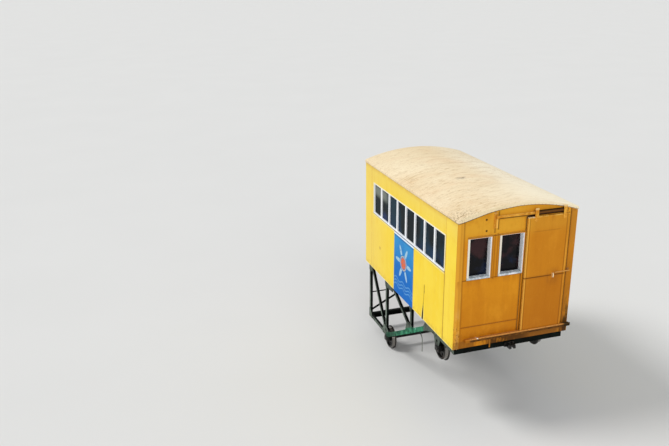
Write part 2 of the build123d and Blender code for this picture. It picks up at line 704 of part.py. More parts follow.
with BuildPart() as end_tympanums:
    with BuildSketch(Plane.YZ.offset(wall_in)):
        with BuildLine():
            Line((-inner_half, header_z), (inner_half, header_z))
            Line((inner_half, header_z), (inner_half, soffit(inner_half)))
            ThreePointArc((inner_half, soffit(inner_half)), (0, soffit(0)),
                          (-inner_half, soffit(inner_half)))
            Line((-inner_half, soffit(inner_half)), (-inner_half, header_z))
        make_face()
    extrude(amount=WALL)
    mirror(about=mid_body)
finish("end_tympanums", end_tympanums)

end_light_z = (end_sill_z + END_BOTTOM_RAIL + end_head_z - END_TOP_RAIL) / 2
end_light_height = END_HEAD - END_SILL - END_BOTTOM_RAIL - END_TOP_RAIL
with BuildPart() as uphill_window_frames:
    with BuildSketch(Plane.YZ.offset(high_x + FRAME_PROUD - END_LINING)):
        for y_from, y_to in (window_1, window_2):
            with Locations(((y_from + y_to) / 2, (end_sill_z + end_head_z) / 2)):
                Rectangle(y_to - y_from, END_HEAD - END_SILL)
            with Locations(((y_from + y_to) / 2, end_light_z)):
                Rectangle(y_to - y_from - 2 * END_STILE, end_light_height, mode=Mode.SUBTRACT)
    extrude(amount=END_LINING)
finish("uphill_window_frames", uphill_window_frames)

with BuildPart() as end_window_glass:
    with BuildSketch(Plane.YZ.offset(high_x + FRAME_PROUD - END_GLASS_INSET - GLASS)):
        for y_from, y_to in (window_1, window_2):
            with Locations(((y_from + y_to) / 2, end_light_z)):
                Rectangle(y_to - y_from - 2 * END_STILE, end_light_height)
    extrude(amount=GLASS)
    mirror(about=mid_body)
finish("end_window_glass", end_window_glass)

# Sliding doors
leaf_x = high_x + LEAF_STANDOFF
leaf_out = leaf_x + LEAF_THICKNESS
rail_mid_x = leaf_x + LEAF_THICKNESS / 2
rail_x = rail_mid_x - DOOR_RAIL_THICKNESS / 2
rail_z = SKIRT_Z + DOOR_RAIL_Z
rail_top = rail_z + DOOR_RAIL_DEPTH
leaf_low = floor_z + LEAF_CLEARANCE
leaf_top = SKIRT_Z + LEAF_TOP

# The leaf is framed on its inner side and has a joint, a pull handle and a latch bar outside
with BuildPart() as uphill_door_leaf:
    board(leaf_x, leaf_out, leaf_from, leaf_to, leaf_low, leaf_top)
    leaf_mid = (leaf_from + leaf_to) / 2
    with Locations((leaf_out, leaf_mid, seam_z)):
        Box(2 * SEAM_DEPTH, leaf_to - leaf_from, SEAM_WIDTH, mode=Mode.SUBTRACT)
    for z_from, z_to in (
        (leaf_low + LEAF_RAIL, seam_z - LEAF_RAIL / 2),
        (seam_z + LEAF_RAIL / 2, leaf_top - LEAF_RAIL),
    ):
        with Locations((leaf_x, leaf_mid, (z_from + z_to) / 2)):
            Box(2 * LEAF_SUNK, leaf_to - leaf_from - 2 * LEAF_RAIL, z_to - z_from,
                mode=Mode.SUBTRACT)
    handle_z = SKIRT_Z + HANDLE_Z
    board(leaf_out, leaf_out + HANDLE_PLATE_THICKNESS,
          handle_y - HANDLE_PLATE / 2, handle_y + HANDLE_PLATE / 2,
          handle_z - HANDLE_HEIGHT / 2, handle_z + HANDLE_HEIGHT / 2)
    pull_height = HANDLE_HEIGHT - 2 * HANDLE_END
    with BuildSketch(Plane.XZ.offset(-handle_y - HANDLE_BAR_WIDTH / 2)) as pull:
        with Locations((leaf_out, handle_z)):
            RectangleRounded(2 * HANDLE_REACH, pull_height, HANDLE_ROUND)
            RectangleRounded(2 * (HANDLE_REACH - HANDLE_BAR), pull_height - 2 * HANDLE_BAR,
                             HANDLE_ROUND / 2, mode=Mode.SUBTRACT)
    extrude(pull.sketch, amount=HANDLE_BAR_WIDTH)
    board(leaf_out, leaf_out + LATCH_THICKNESS, handle_y + LATCH_START, latch_to,
          latch_z - LATCH_HEIGHT / 2, latch_z + LATCH_HEIGHT / 2)
finish("uphill_door_leaf", uphill_door_leaf)

with BuildPart() as uphill_door_hangers:
    roller_z = rail_top + ROLLER_RADIUS + FIT
    strap_x = leaf_out + FIT
    strap_low = leaf_top - HANGER_LAP
    strap_top = SKIRT_Z + HANGER_TOP
    for y in hangers:
        with BuildSketch(Plane.YZ.offset(strap_x)):
            with Locations((y, (strap_low + strap_top) / 2)):
                Rectangle(HANGER_WIDTH, strap_top - strap_low)
            with Locations((y, strap_low)):
                Circle(HANGER_WIDTH / 2)
        extrude(amount=HANGER_THICKNESS)
        with BuildSketch(Plane.YZ.offset(rail_mid_x - ROLLER_WIDTH / 2)):
            with Locations((y, roller_z)):
                Circle(ROLLER_RADIUS)
        extrude(amount=ROLLER_WIDTH)
        with BuildSketch(Plane.YZ.offset(rail_mid_x)):
            with Locations((y, roller_z)):
                Circle(ROLLER_PIN)
        extrude(amount=strap_x - rail_mid_x)
finish("uphill_door_hangers", uphill_door_hangers)

with BuildPart() as uphill_door_rail:
    board(rail_x, rail_x + DOOR_RAIL_THICKNESS, door_rail_from, door_rail_to, rail_z, rail_top)
    half_bracket = RAIL_BRACKET / 2
    for y in (door_rail_from + half_bracket, (door_rail_from + door_rail_to) / 2,
              door_rail_to - half_bracket):
        board(high_x, rail_x, y - half_bracket, y + half_bracket, rail_z, rail_top - RAIL_BRACKET_DROP)
    board(high_x, high_x + 2 * FACING, door_rail_from - BATTEN_WIDTH / 2,
          door_rail_from + BATTEN_WIDTH / 2, SKIRT_Z + BATTEN_FROM, SKIRT_Z + BATTEN_TO)
finish("uphill_door_rail", uphill_door_rail)

with BuildPart() as base_ledges:
    ledge_out = leaf_out + LEAF_CLEARANCE + LIP_THICKNESS
    with BuildSketch(Plane.XZ.offset(-ledge_to)):
        with BuildLine():
            Polyline((high_x, ledge_low), (ledge_out, ledge_low),
                     (ledge_out, floor_z + LEDGE_LIP), (ledge_out - LIP_THICKNESS, floor_z + LEDGE_LIP),
                     (ledge_out - LIP_THICKNESS, floor_z), (high_x, floor_z), close=True)
        make_face()
    extrude(amount=ledge_to - ledge_from)
    strap_y = ledge_from + LEDGE_STRAP_FROM
    board(high_x, high_x + LEDGE_STRAP_THICKNESS, strap_y, strap_y + LEDGE_STRAP_WIDTH,
          ledge_low - LEDGE_STRAP_LENGTH, ledge_low)
    mirror(about=mid_body)
finish("base_ledges", base_ledges)

# The downhill end repeats the uphill end
for name, source in (
    ("downhill_wall_posts", uphill_wall_posts),
    ("downhill_waist_panel", uphill_waist_panel),
    ("downhill_header_boards", uphill_header_boards),
    ("downhill_window_frames", uphill_window_frames),
    ("downhill_door_leaf", uphill_door_leaf),
    ("downhill_door_hangers", uphill_door_hangers),
    ("downhill_door_rail", uphill_door_rail),
):
    with BuildPart() as repeated:
        mirror(source.part, about=mid_body)
    finish(name, repeated)


# Roof

def arch(y, radius):
    """Height of an arc of the roof at a place across the car."""
    return roof_centre_z + sqrt(radius**2 - y**2)


with BuildPart() as roof_shell:
    with BuildSketch(Plane.YZ.offset(low_x - ROOF_OVERHANG)):
        with BuildLine():
            top = arch(roof_half, roof_radius)
            under = arch(roof_half, under_radius)
            ThreePointArc((-roof_half, top), (0, arch(0, roof_radius)), (roof_half, top))
            Line((roof_half, top), (roof_half, under))
            ThreePointArc((roof_half, under), (0, arch(0, under_radius)), (-roof_half, under))
            Line((-roof_half, under), (-roof_half, top))
        make_face()
        fillet(vertices().group_by(Axis.Y)[-1], EAVE_ROLL)
    extrude(amount=BODY_LENGTH + 2 * ROOF_OVERHANG)
    for end in (faces().sort_by(Axis.X)[0], faces().sort_by(Axis.X)[-1]):
        rolled = end.edges().filter_by(GeomType.CIRCLE)
        fillet([edge for edge in rolled if abs(edge.radius - under_radius) > 1], END_ROLL)
finish("roof_shell", roof_shell)

with BuildPart() as roof_carlines:
    pitch = (BODY_LENGTH - 2 * WALL) / (CARLINE_COUNT + 1)
    reach = inner_half - FIT
    for index in range(CARLINE_COUNT):
        x = low_x + WALL + (index + 1) * pitch - CARLINE_WIDTH / 2
        with BuildSketch(Plane.YZ.offset(x)):
            with BuildLine():
                ThreePointArc((-reach, soffit(reach)), (0, soffit(0)), (reach, soffit(reach)))
                Line((reach, soffit(reach)), (reach, soffit(reach) - CARLINE_DEPTH))
                ThreePointArc((reach, soffit(reach) - CARLINE_DEPTH), (0, soffit(0) - CARLINE_DEPTH),
                              (-reach, soffit(reach) - CARLINE_DEPTH))
                Line((-reach, soffit(reach) - CARLINE_DEPTH), (-reach, soffit(reach)))
            make_face()
        extrude(amount=CARLINE_WIDTH)
finish("roof_carlines", roof_carlines)


# Benches

with BuildPart() as right_bench:
    back = -inner_half + FIT
    seat_z = floor_z + SEAT_HEIGHT
    start = mid_x - BENCH_LENGTH / 2
    slat = (SEAT_DEPTH - (SLATS - 1) * SLAT_GAP) / SLATS
    for index in range(SLATS):
        y = back + index * (slat + SLAT_GAP)
        board(start, start + BENCH_LENGTH, y, y + slat, seat_z - SEAT_BOARD, seat_z)
    for index in range(BENCH_LEGS):
        x = start + BENCH_LEG_IN + index * (BENCH_LENGTH - 2 * BENCH_LEG_IN) / (BENCH_LEGS - 1)
        board(x - BENCH_LEG / 2, x + BENCH_LEG / 2, back, back + SEAT_DEPTH - BENCH_LEG_SHORT,
              floor_z + FIT, seat_z - SEAT_BOARD)
finish("right_bench", right_bench)

with BuildPart() as left_bench:
    mirror(right_bench.part, about=Plane.XZ)
finish("left_bench", left_bench)
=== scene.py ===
"""Looks of a funicular car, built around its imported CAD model. Metres, +Z up, +X uphill."""

import math

import bmesh
import bpy
from mathutils import Matrix, Vector, noise


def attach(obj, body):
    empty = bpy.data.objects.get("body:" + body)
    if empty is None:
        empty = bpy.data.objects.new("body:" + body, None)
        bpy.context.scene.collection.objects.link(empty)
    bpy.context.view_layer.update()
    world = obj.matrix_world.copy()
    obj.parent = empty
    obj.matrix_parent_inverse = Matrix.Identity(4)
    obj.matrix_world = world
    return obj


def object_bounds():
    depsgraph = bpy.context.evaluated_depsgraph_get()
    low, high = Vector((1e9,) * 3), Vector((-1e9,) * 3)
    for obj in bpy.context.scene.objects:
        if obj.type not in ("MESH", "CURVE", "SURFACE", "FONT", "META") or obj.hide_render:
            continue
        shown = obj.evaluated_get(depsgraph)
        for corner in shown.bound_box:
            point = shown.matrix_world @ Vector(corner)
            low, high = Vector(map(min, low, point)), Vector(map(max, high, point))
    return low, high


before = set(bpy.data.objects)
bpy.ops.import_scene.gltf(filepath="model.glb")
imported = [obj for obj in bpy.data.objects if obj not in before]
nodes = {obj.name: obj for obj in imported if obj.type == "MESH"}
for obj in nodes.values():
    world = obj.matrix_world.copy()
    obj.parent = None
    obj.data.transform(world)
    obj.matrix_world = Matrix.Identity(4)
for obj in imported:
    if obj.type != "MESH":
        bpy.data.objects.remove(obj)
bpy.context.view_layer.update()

# Sizes repeated from the CAD model; a pair is a lower and an upper limit
MID_X = -0.183
HIGH_X = 1.900
SIDE_Y = 1.081
SKIRT_Z = 1.078
BAND_X = (-1.802, 1.515)
BAND_Z = (2.322, 2.970)
SIDE_SEAMS = (-1.910, 1.518)
WINDOW_1 = (-0.887, -0.449)
WINDOW_2 = (-0.324, 0.138)
END_WINDOW_Z = (2.290, 3.007)
END_PANEL_Z = 1.243
CORNER_Y = 0.960
LEAF_Y = (0.143, 0.896)
LEAF_Z = (1.250, 3.254)
LEAF_SEAM_Z = 2.200
LEAF_OUT = 1.955
RAIL_Y = (-0.430, 0.870)
RAIL_Z = (3.293, 3.338)
LEDGE_START = -0.880
LEDGE_Z = (1.201, 1.261)
GUSSET_Y = 1.032
AXLE_BOX_Y = 1.038
BANNER_Y = 1.084
BANNER_X = (-0.667, 0.257)
SILL_LOW = 1.018
POSTS_X = (-2.156, -1.2022, 0.062, 0.938)
POST_FOOT_Z = -0.173
CHORD_RISE = 0.5773
ROOF_X = (-2.284, 1.918)
ROOF_HALF = 1.093
ROOF_RADIUS = 3.386
ROOF_CENTRE_Z = 0.127
EAVE_ROLL = 0.030
END_ROLL = 0.014

# Places: handle (y, z), both hangers (y), foot of the sloping chord and axles (x, z)
HANDLE = (0.670, 2.198)
HANGERS = (0.285, 0.811)
CHORD_FOOT = (-1.139, -0.181)
FRONT_AXLE = (-1.2022, -0.2713)
REAR_AXLE = (1.2022, 0.7493)

# Painted marks: middle of the banner's sun (x, z) and of the dark patch on the roof (x, y)
BANNER_SUN = (-0.205, 1.800)
CANVAS_STAIN = (0.29, -0.205)


# Shader nodes

def rgb(red, green, blue):
    """An 8-bit screen colour as a shader value."""
    def linear(value):
        value /= 255
        return value / 12.92 if value <= 0.04045 else ((value + 0.055) / 1.055) ** 2.4
    return (linear(red), linear(green), linear(blue), 1.0)


def feed(socket, value):
    """Links an input to another node's output, or sets it to a constant."""
    if isinstance(value, bpy.types.NodeSocket):
        socket.id_data.links.new(value, socket)
    else:
        socket.default_value = value


def add(tree, kind, inputs, **settings):
    node = tree.nodes.new("ShaderNode" + kind)
    for key, value in settings.items():
        setattr(node, key, value)
    for key, value in inputs.items():
        feed(node.inputs[key], value)
    return node


def calc(operation, first, *more):
    """A Math node; first is the output of another node."""
    inputs = dict(enumerate((first, *more)))
    return add(first.id_data, "Math", inputs, operation=operation).outputs[0]


def absolute(value):
    return calc("ABSOLUTE", value)


def offsets(first, second, centre):
    return calc("SUBTRACT", first, centre[0]), calc("SUBTRACT", second, centre[1])


def length(aside, above):
    return calc("SQRT", calc("ADD", both(aside, aside), both(above, above)))


def step(value, low, high, most=1.0):
    """0 below low, most above high, smooth between them."""
    inputs = {"Value": value, "From Min": low, "From Max": high, "To Max": most}
    return add(value.id_data, "MapRange", inputs, interpolation_type="SMOOTHSTEP").outputs[0]


def line(value, centre, half, soft, most=1.0):
    """most within half of centre, falling to 0 over soft."""
    return step(absolute(calc("SUBTRACT", value, centre)), half + soft, half, most)


def inside(value, low, high, soft):
    return both(step(value, low - soft, low), step(value, high + soft, high))


def both(first, *more):
    for other in more:
        first = calc("MULTIPLY", first, other)
    return first


def either(first, *more):
    for other in more:
        first = calc("MAXIMUM", first, other)
    return first


class Finish:
    """A procedural material. Its patterns lie in the model's own space, in metres."""

    def __init__(self, name, **constants):
        self.material = bpy.data.materials.new(name)
        self.material.use_nodes = True
        self.tree = self.material.node_tree
        self.shader = self.tree.nodes["Principled BSDF"]
        for socket, value in constants.items():
            self.shader.inputs[socket.replace("_", " ")].default_value = value
        coordinate = add(self.tree, "TexCoord", {})
        self.place = coordinate.outputs["Object"]
        self.axes = list(add(self.tree, "SeparateXYZ", {0: self.place}).outputs)
        self.facing = add(self.tree, "SeparateXYZ", {0: coordinate.outputs["Normal"]}).outputs
        self.colour = None

    def noise(self, scale, stretch=(1, 1, 1), detail=4.0, rough=0.55, shift=(0, 0, 0), twist=0.0):
        mapped = add(self.tree, "Mapping", {"Vector": self.place, "Location": shift, "Scale": stretch})
        inputs = {"Vector": mapped.outputs[0], "Scale": scale, "Detail": detail,
                  "Roughness": rough, "Distortion": twist}
        return add(self.tree, "TexNoise", inputs).outputs["Fac"]

    def spots(self, scale, size, share, shift=(0, 0, 0)):
        """Small round spots of that size, in a share of the cells."""
        mapped = add(self.tree, "Mapping", {"Vector": self.place, "Location": shift})
        cells = add(self.tree, "TexVoronoi", {"Vector": mapped.outputs[0], "Scale": scale})
        chosen = add(self.tree, "SeparateColor", {0: cells.outputs["Color"]}).outputs[0]
        near = step(cells.outputs["Distance"], size * scale, 0.5 * size * scale)
        return both(near, calc("LESS_THAN", chosen, share))

    def layer(self, name):
        """A value kept on the points of the mesh."""
        return add(self.tree, "Attribute", {}, attribute_name=name).outputs["Fac"]

    def mix(self, factor, *colours):
        """From the first to the second of two colours, each 8-bit numbers or a node's output."""
        first, second = [rgb(*colour) if isinstance(colour, tuple) else colour for colour in colours]
        return add(self.tree, "Mix", {0: factor, 6: first, 7: second}, data_type="RGBA").outputs[2]

    def base(self, factor, first, second):
        self.colour = self.mix(factor, first, second)

    def coat(self, colour, *masks):
        """Turns what is there to colour where all the masks meet."""
        self.colour = self.mix(both(*masks), self.colour, colour)

    def done(self, roughness, height=None, distance=0.001):
        """Joins colour, roughness and relief (distance in metres for a height of 1)."""
        feed(self.shader.inputs["Base Color"], self.colour)
        feed(self.shader.inputs["Roughness"], roughness)
        if height is not None:
            bump = add(self.tree, "Bump", {"Distance": distance, "Height": height})
            feed(self.shader.inputs["Normal"], bump.outputs[0])
        return self.material


# Yellow of the sides, ochre of the ends

def yellow_enamel(paint):
    """Colour of the sides: bright low down, paler and dustier under the eaves and downhill."""
    x, y, z = paint.axes
    coat = paint.coat
    cloud = paint.noise(1.1, detail=5)
    streak = paint.noise(9.0, (1, 1, 0.05), detail=6, rough=0.62)
    blotch = paint.noise(4.2, (1, 1, 0.8), detail=6, rough=0.62, shift=(6, 3, 2))
    run = paint.noise(24.0, (1, 1, 0.035), detail=4, shift=(3, 1, 7))
    rubbed = paint.noise(3.2, (1, 1, 0.7), detail=7, rough=0.7, shift=(9, 2, 4))
    paint.base(step(cloud, 0.36, 0.66), (250, 214, 54), (252, 220, 70))
    coat((244, 214, 112), step(x, -0.6, -2.0, 0.65))
    coat((243, 212, 100), step(z, 2.75, 3.25, 0.75))
    coat((254, 223, 82), step(x, 1.50, 1.56), step(x, 1.95, 1.6, 0.5))
    coat((243, 200, 52), step(blotch, 0.52, 0.68, 0.30))
    coat((255, 227, 98), step(blotch, 0.46, 0.32, 0.30))
    coat((255, 228, 104), step(streak, 0.54, 0.70, 0.22))
    coat((240, 196, 58), step(streak, 0.44, 0.32, 0.20))
    coat((224, 176, 58), step(run, 0.60, 0.72, 0.14))
    coat((232, 190, 92), step(rubbed, 0.60, 0.70, 0.22))
    specks = either(paint.spots(6.0, 0.008, 0.10), paint.spots(15.0, 0.004, 0.12, (2, 0, 1)))
    coat((170, 118, 46), specks, 0.40)
    coat((190, 140, 60), line(x, -1.432, 0.012, 0.05), line(z, 1.671, 0.008, 0.04, 0.6))
    # Dirt under the eave, below the window sill and along the foot, with a painted shadow and a painted
    # highlight under the sill
    coat((216, 160, 58), step(z, 3.18, 3.27), step(streak, 0.30, 0.60, 0.38))
    sill, head = BAND_Z
    under_sill = both(inside(x, *BAND_X, 0.005), step(z, sill + 0.01, sill))
    coat((196, 156, 70), under_sill, step(z, sill - 0.075, sill - 0.020), step(run, 0.36, 0.6, 0.45))
    # Under the sill: a pale line, a painted highlight, and above it a grey line, a painted shadow
    coat((255, 238, 160), under_sill, line(z, sill - 0.032, 0.010, 0.010, 0.7))
    coat((148, 126, 84), under_sill, step(z, sill - 0.024, sill - 0.016, 0.85))
    splash = step(paint.noise(13.0, detail=7), 0.42, 0.6, 0.4)
    coat((196, 148, 62), step(z, SKIRT_Z + 0.16, SKIRT_Z), splash)
    coat((255, 244, 178), step(z, SKIRT_Z + 0.014, SKIRT_Z + 0.007, 0.8))
    # Joints between the panels; the uphill one ends at the head of the window band
    wide = paint.noise(5.0, detail=3, shift=(0, 3, 3))
    below_head = step(z, head + 0.01, head - 0.01)
    for place, most, span in ((SIDE_SEAMS[0], 0.08, 0.35), (SIDE_SEAMS[1], 0.85, below_head)):
        coat((142, 98, 34), line(x, place, 0.004, 0.010, most), span)
        coat((214, 164, 56), line(x, place, 0.012, 0.05), step(wide, 0.35, 0.65, 0.30), span)
    over_band = both(line(z, head, 0.0015, 0.003, 0.5), inside(x, *BAND_X, 0.01))
    coat((160, 116, 40), either(line(x, BAND_X[0], 0.0015, 0.004, 0.4), over_band))
    # A crack in the panel on the right side, wider at the foot, with lifted paint beside it
    depth = step(z, SKIRT_Z + 0.42, SKIRT_Z + 0.04)
    ragged = paint.noise(16.0, (0.2, 0.2, 1.0), detail=5, rough=0.7, shift=(1, 1, 9))
    middle = calc("ADD", calc("MULTIPLY_ADD", z, 0.0905, 0.594), both(ragged, 0.012))
    away = absolute(calc("SUBTRACT", x, middle))
    right_side = step(y, -1.0, -1.05)
    half = both(depth, 0.030)
    crack = both(calc("LESS_THAN", away, half), right_side)
    coat((255, 240, 160), calc("LESS_THAN", away, both(half, 1.9)), depth, right_side, 0.55)
    coat((156, 112, 16), line(x, 0.752, 0.010, 0.016), line(z, 1.690, 0.060, 0.040, 0.7), right_side)
    coat((150, 108, 20), step(away, 0.012, 0.006, 0.8), inside(z, SKIRT_Z, 1.64, 0.02), right_side)
    coat((30, 14, 2), crack)
    return streak, cloud, crack


def ochre_enamel(paint):
    """Colour of the ends: yellower over the windows, browner low down and to the left."""
    y, z = paint.axes[1:]
    coat = paint.coat
    cloud = paint.noise(2.6, (1, 1, 0.8), detail=6, rough=0.6, shift=(1, 8, 3))
    grain = paint.noise(13.0, (1, 1, 0.05), detail=6, rough=0.62, shift=(5, 2, 0))
    fine = paint.noise(30.0, (1, 1, 0.6), detail=6, rough=0.68, shift=(3, 1, 1))
    paint.base(step(z, 2.90, 3.12), (219, 142, 26), (229, 165, 46))
    coat((205, 128, 22), step(z, 2.20, 1.35))
    coat((200, 122, 22), step(y, 0.05, 0.35, 0.40))
    coat((198, 118, 18), step(cloud, 0.50, 0.70, 0.40))
    coat((232, 158, 38), step(cloud, 0.48, 0.32, 0.35))
    coat((186, 106, 18), step(grain, 0.54, 0.70, 0.16))
    coat((238, 166, 48), step(grain, 0.46, 0.32, 0.14))
    coat((180, 104, 22), step(fine, 0.56, 0.70, 0.22))
    coat((240, 172, 60), step(fine, 0.44, 0.32, 0.18))
    return grain, cloud


def weather_ends(paint, grain):
    """Stains, chips and mossy edges of the end walls, a painted highlight beside the door leaf and painted
    shadow behind the door rail.
    """
    y, z = paint.axes[1:]
    coat = paint.coat
    patch = paint.noise(7.0, (1, 1, 0.35), detail=7, rough=0.68, shift=(2, 6, 1))
    pitted = paint.noise(34.0, (1, 1, 0.6), detail=6, rough=0.72, shift=(8, 3, 3))
    # Corner boards: tan on the right of the car, mossy on the left
    right = step(y, -CORNER_Y + 0.002, -CORNER_Y - 0.002)
    scraped = step(patch, 0.46, 0.56, 0.6)
    coat((238, 172, 54), right, step(patch, 0.25, 0.5, 0.85))
    coat((176, 104, 28), right, line(y, -1.006, 0.010, 0.014), step(patch, 0.30, 0.5, 0.35))
    coat((234, 180, 96), right, step(z, 1.95, 1.45), scraped, line(y, -1.020, 0.030, 0.012))
    coat((118, 66, 22), right, step(z, 1.75, 1.25), step(pitted, 0.54, 0.62, 0.75))
    left = step(y, CORNER_Y - 0.01, CORNER_Y + 0.01)
    coat((178, 112, 28), left, step(z, 2.7, 2.3, 0.6))
    coat((194, 128, 40), left, step(z, 2.4, 2.9, 0.8))
    # Painted highlight: the strip between the door leaf and the left corner board is lightened against the
    # shade beside the leaf
    coat((244, 172, 48), step(y, LEAF_Y[1] - 0.005, LEAF_Y[1]), step(y, CORNER_Y, CORNER_Y - 0.004, 0.8),
         either(step(z, 2.0, 2.4), 0.35))
    coat((66, 56, 26), step(y, 0.94, 1.06), step(z, 2.1, 1.35), step(patch, 0.42, 0.58, 0.9))
    coat((48, 40, 20), step(y, 0.94, 1.02), step(z, 1.44, 1.30), step(patch, 0.25, 0.42, 0.9))
    coat((112, 84, 38), step(y, 1.035, 1.08), step(grain, 0.45, 0.62, 0.6))
    # Splashes along the foot, darker patches under the ledge and runs under the windows
    coat((160, 92, 26), step(z, 1.42, 1.24), step(patch, 0.40, 0.60, 0.45))
    under = step(z, LEDGE_Z[0] + 0.012, LEDGE_Z[0] - 0.006)
    covered = both(under, step(y, -0.56, -0.36))
    coat((78, 48, 18), covered, step(patch, 0.30, 0.48, 0.92))
    coat((160, 104, 34), covered, step(patch, 0.36, 0.24, 0.75))
    coat((178, 112, 38), under, step(y, 0.15, 0.45), step(y, 1.02, 0.90, 0.50))
    coat((120, 78, 26), under, step(y, -0.36, -0.56), step(patch, 0.40, 0.58, 0.5))
    sill = END_WINDOW_Z[0]
    coat((176, 100, 22), step(z, sill - 0.16, sill - 0.01), step(z, sill + 0.01, sill),
         step(y, WINDOW_2[1] + 0.02, WINDOW_2[1]), step(grain, 0.42, 0.6, 0.4))
    # Painted shadow: the wall behind the overhead rail is painted dark beyond the first hanger, near black
    # above the leaf before it, with a dark line under the rail on that side
    hanger = HANGERS[0]
    coat((52, 30, 10), inside(y, hanger, 0.885, 0.012), inside(z, 3.262, RAIL_Z[1] + 0.002, 0.006))
    coat((26, 14, 6), inside(y, LEAF_Y[0] + 0.004, hanger + 0.02, 0.006), inside(z, 3.222, 3.292, 0.004))
    coat((88, 48, 12), step(y, hanger + 0.02, hanger - 0.02), step(y, RAIL_Y[0], -0.35),
         line(z, RAIL_Z[0] - 0.012, 0.007, 0.010, 0.85))
    chips = either(paint.spots(8.0, 0.007, 0.12, (0, 4, 2)), paint.spots(19.0, 0.0035, 0.12))
    coat((110, 64, 24), chips, 0.55)


def joints(axis, other, places, half, soft, most, ease):
    """Lines at right angles to one axis. Each place is (where, from, to along the other axis)."""
    return [both(line(axis, at, half, soft, most), inside(other, low, high, ease))
            for at, low, high in places]


def wall_joints(paint):
    """Dark joints between the boards of the end walls, and two old screw holes."""
    y, z = paint.axes[1:]
    coat = paint.coat
    sill, head = END_WINDOW_Z
    post = WINDOW_2[1]
    batten = (RAIL_Y[0] + 0.008, RAIL_Y[0] + 0.066)
    whole = (0.0, 4.0)
    uprights = (
        (WINDOW_1[1], sill, head), (WINDOW_2[0], sill, head),
        (post - 0.040, END_PANEL_Z, sill), (post, END_PANEL_Z, 3.26), (CORNER_Y, *whole),
        (CORNER_Y - 0.034, 2.55, 3.25), (batten[0], 3.05, 3.40), (batten[1], 3.10, 3.40),
    )
    grooves = ((-CORNER_Y, *whole), (-0.412, sill - 0.03, head + 0.02), (-0.360, sill - 0.01, head + 0.03))
    levels = ((sill, -CORNER_Y, post), (head, WINDOW_1[0], post))
    skirting = (1.453, -CORNER_Y, post - 0.04)
    halos = joints(y, z, (*uprights, *grooves), 0.006, 0.030, 0.32, 0.01)
    halos += joints(z, y, (*levels, skirting), 0.006, 0.024, 0.30, 0.01)
    dark = joints(y, z, uprights, 0.0022, 0.006, 0.85, 0.004)
    dark += joints(z, y, levels, 0.0022, 0.006, 0.75, 0.004)
    faint = joints(y, z, grooves, 0.003, 0.008, 0.45, 0.004)
    faint += joints(z, y, [skirting], 0.003, 0.007, 0.75, 0.004)
    coat((140, 82, 20), either(*halos))
    coat((84, 48, 12), either(*dark))
    coat((150, 76, 12), either(*faint))
    strip = inside(y, batten[0] + 0.014, batten[1] - 0.012, 0.004)
    coat((250, 190, 84), strip, inside(z, 3.13, 3.28, 0.01))
    for hole in ((-0.580, 3.285), (-0.571, 3.098)):
        away = length(*offsets(y, z, hole))
        coat((150, 90, 28), step(away, 0.030, 0.015, 0.5))
        coat((14, 9, 6), step(away, 0.016, 0.011))


def body_paint():
    """Yellow enamel on what faces sideways, ochre on what faces uphill or downhill."""
    paint = Finish("body_paint", Specular_IOR_Level=0.08)
    streak, cloud, crack = yellow_enamel(paint)
    yellow = paint.colour
    grain, wash = ochre_enamel(paint)
    weather_ends(paint, grain)
    wall_joints(paint)
    across = absolute(paint.axes[1])
    endwise = absolute(paint.facing[0])
    end_on = step(endwise, 0.60, 0.75)
    # A worn edge where yellow meets ochre, and a plain coat on the inner faces
    paint.coat((208, 150, 50), end_on, step(across, 1.066, 1.076), step(grain, 0.3, 0.6, 0.6))
    paint.base(end_on, yellow, paint.colour)
    paint.coat((186, 150, 96), step(across, 1.045, 1.030), step(endwise, 0.75, 0.60))
    fine = paint.noise(70.0, (1, 1, 0.25), detail=3)
    relief = calc("ADD", both(fine, 0.4), both(streak, 0.8))
    relief = calc("ADD", relief, both(wash, 1.5))
    relief = calc("SUBTRACT", relief, both(crack, 5.0))
    return paint.done(calc("MULTIPLY_ADD", step(cloud, 0.3, 0.7), 0.14, 0.44), relief, 0.0009)


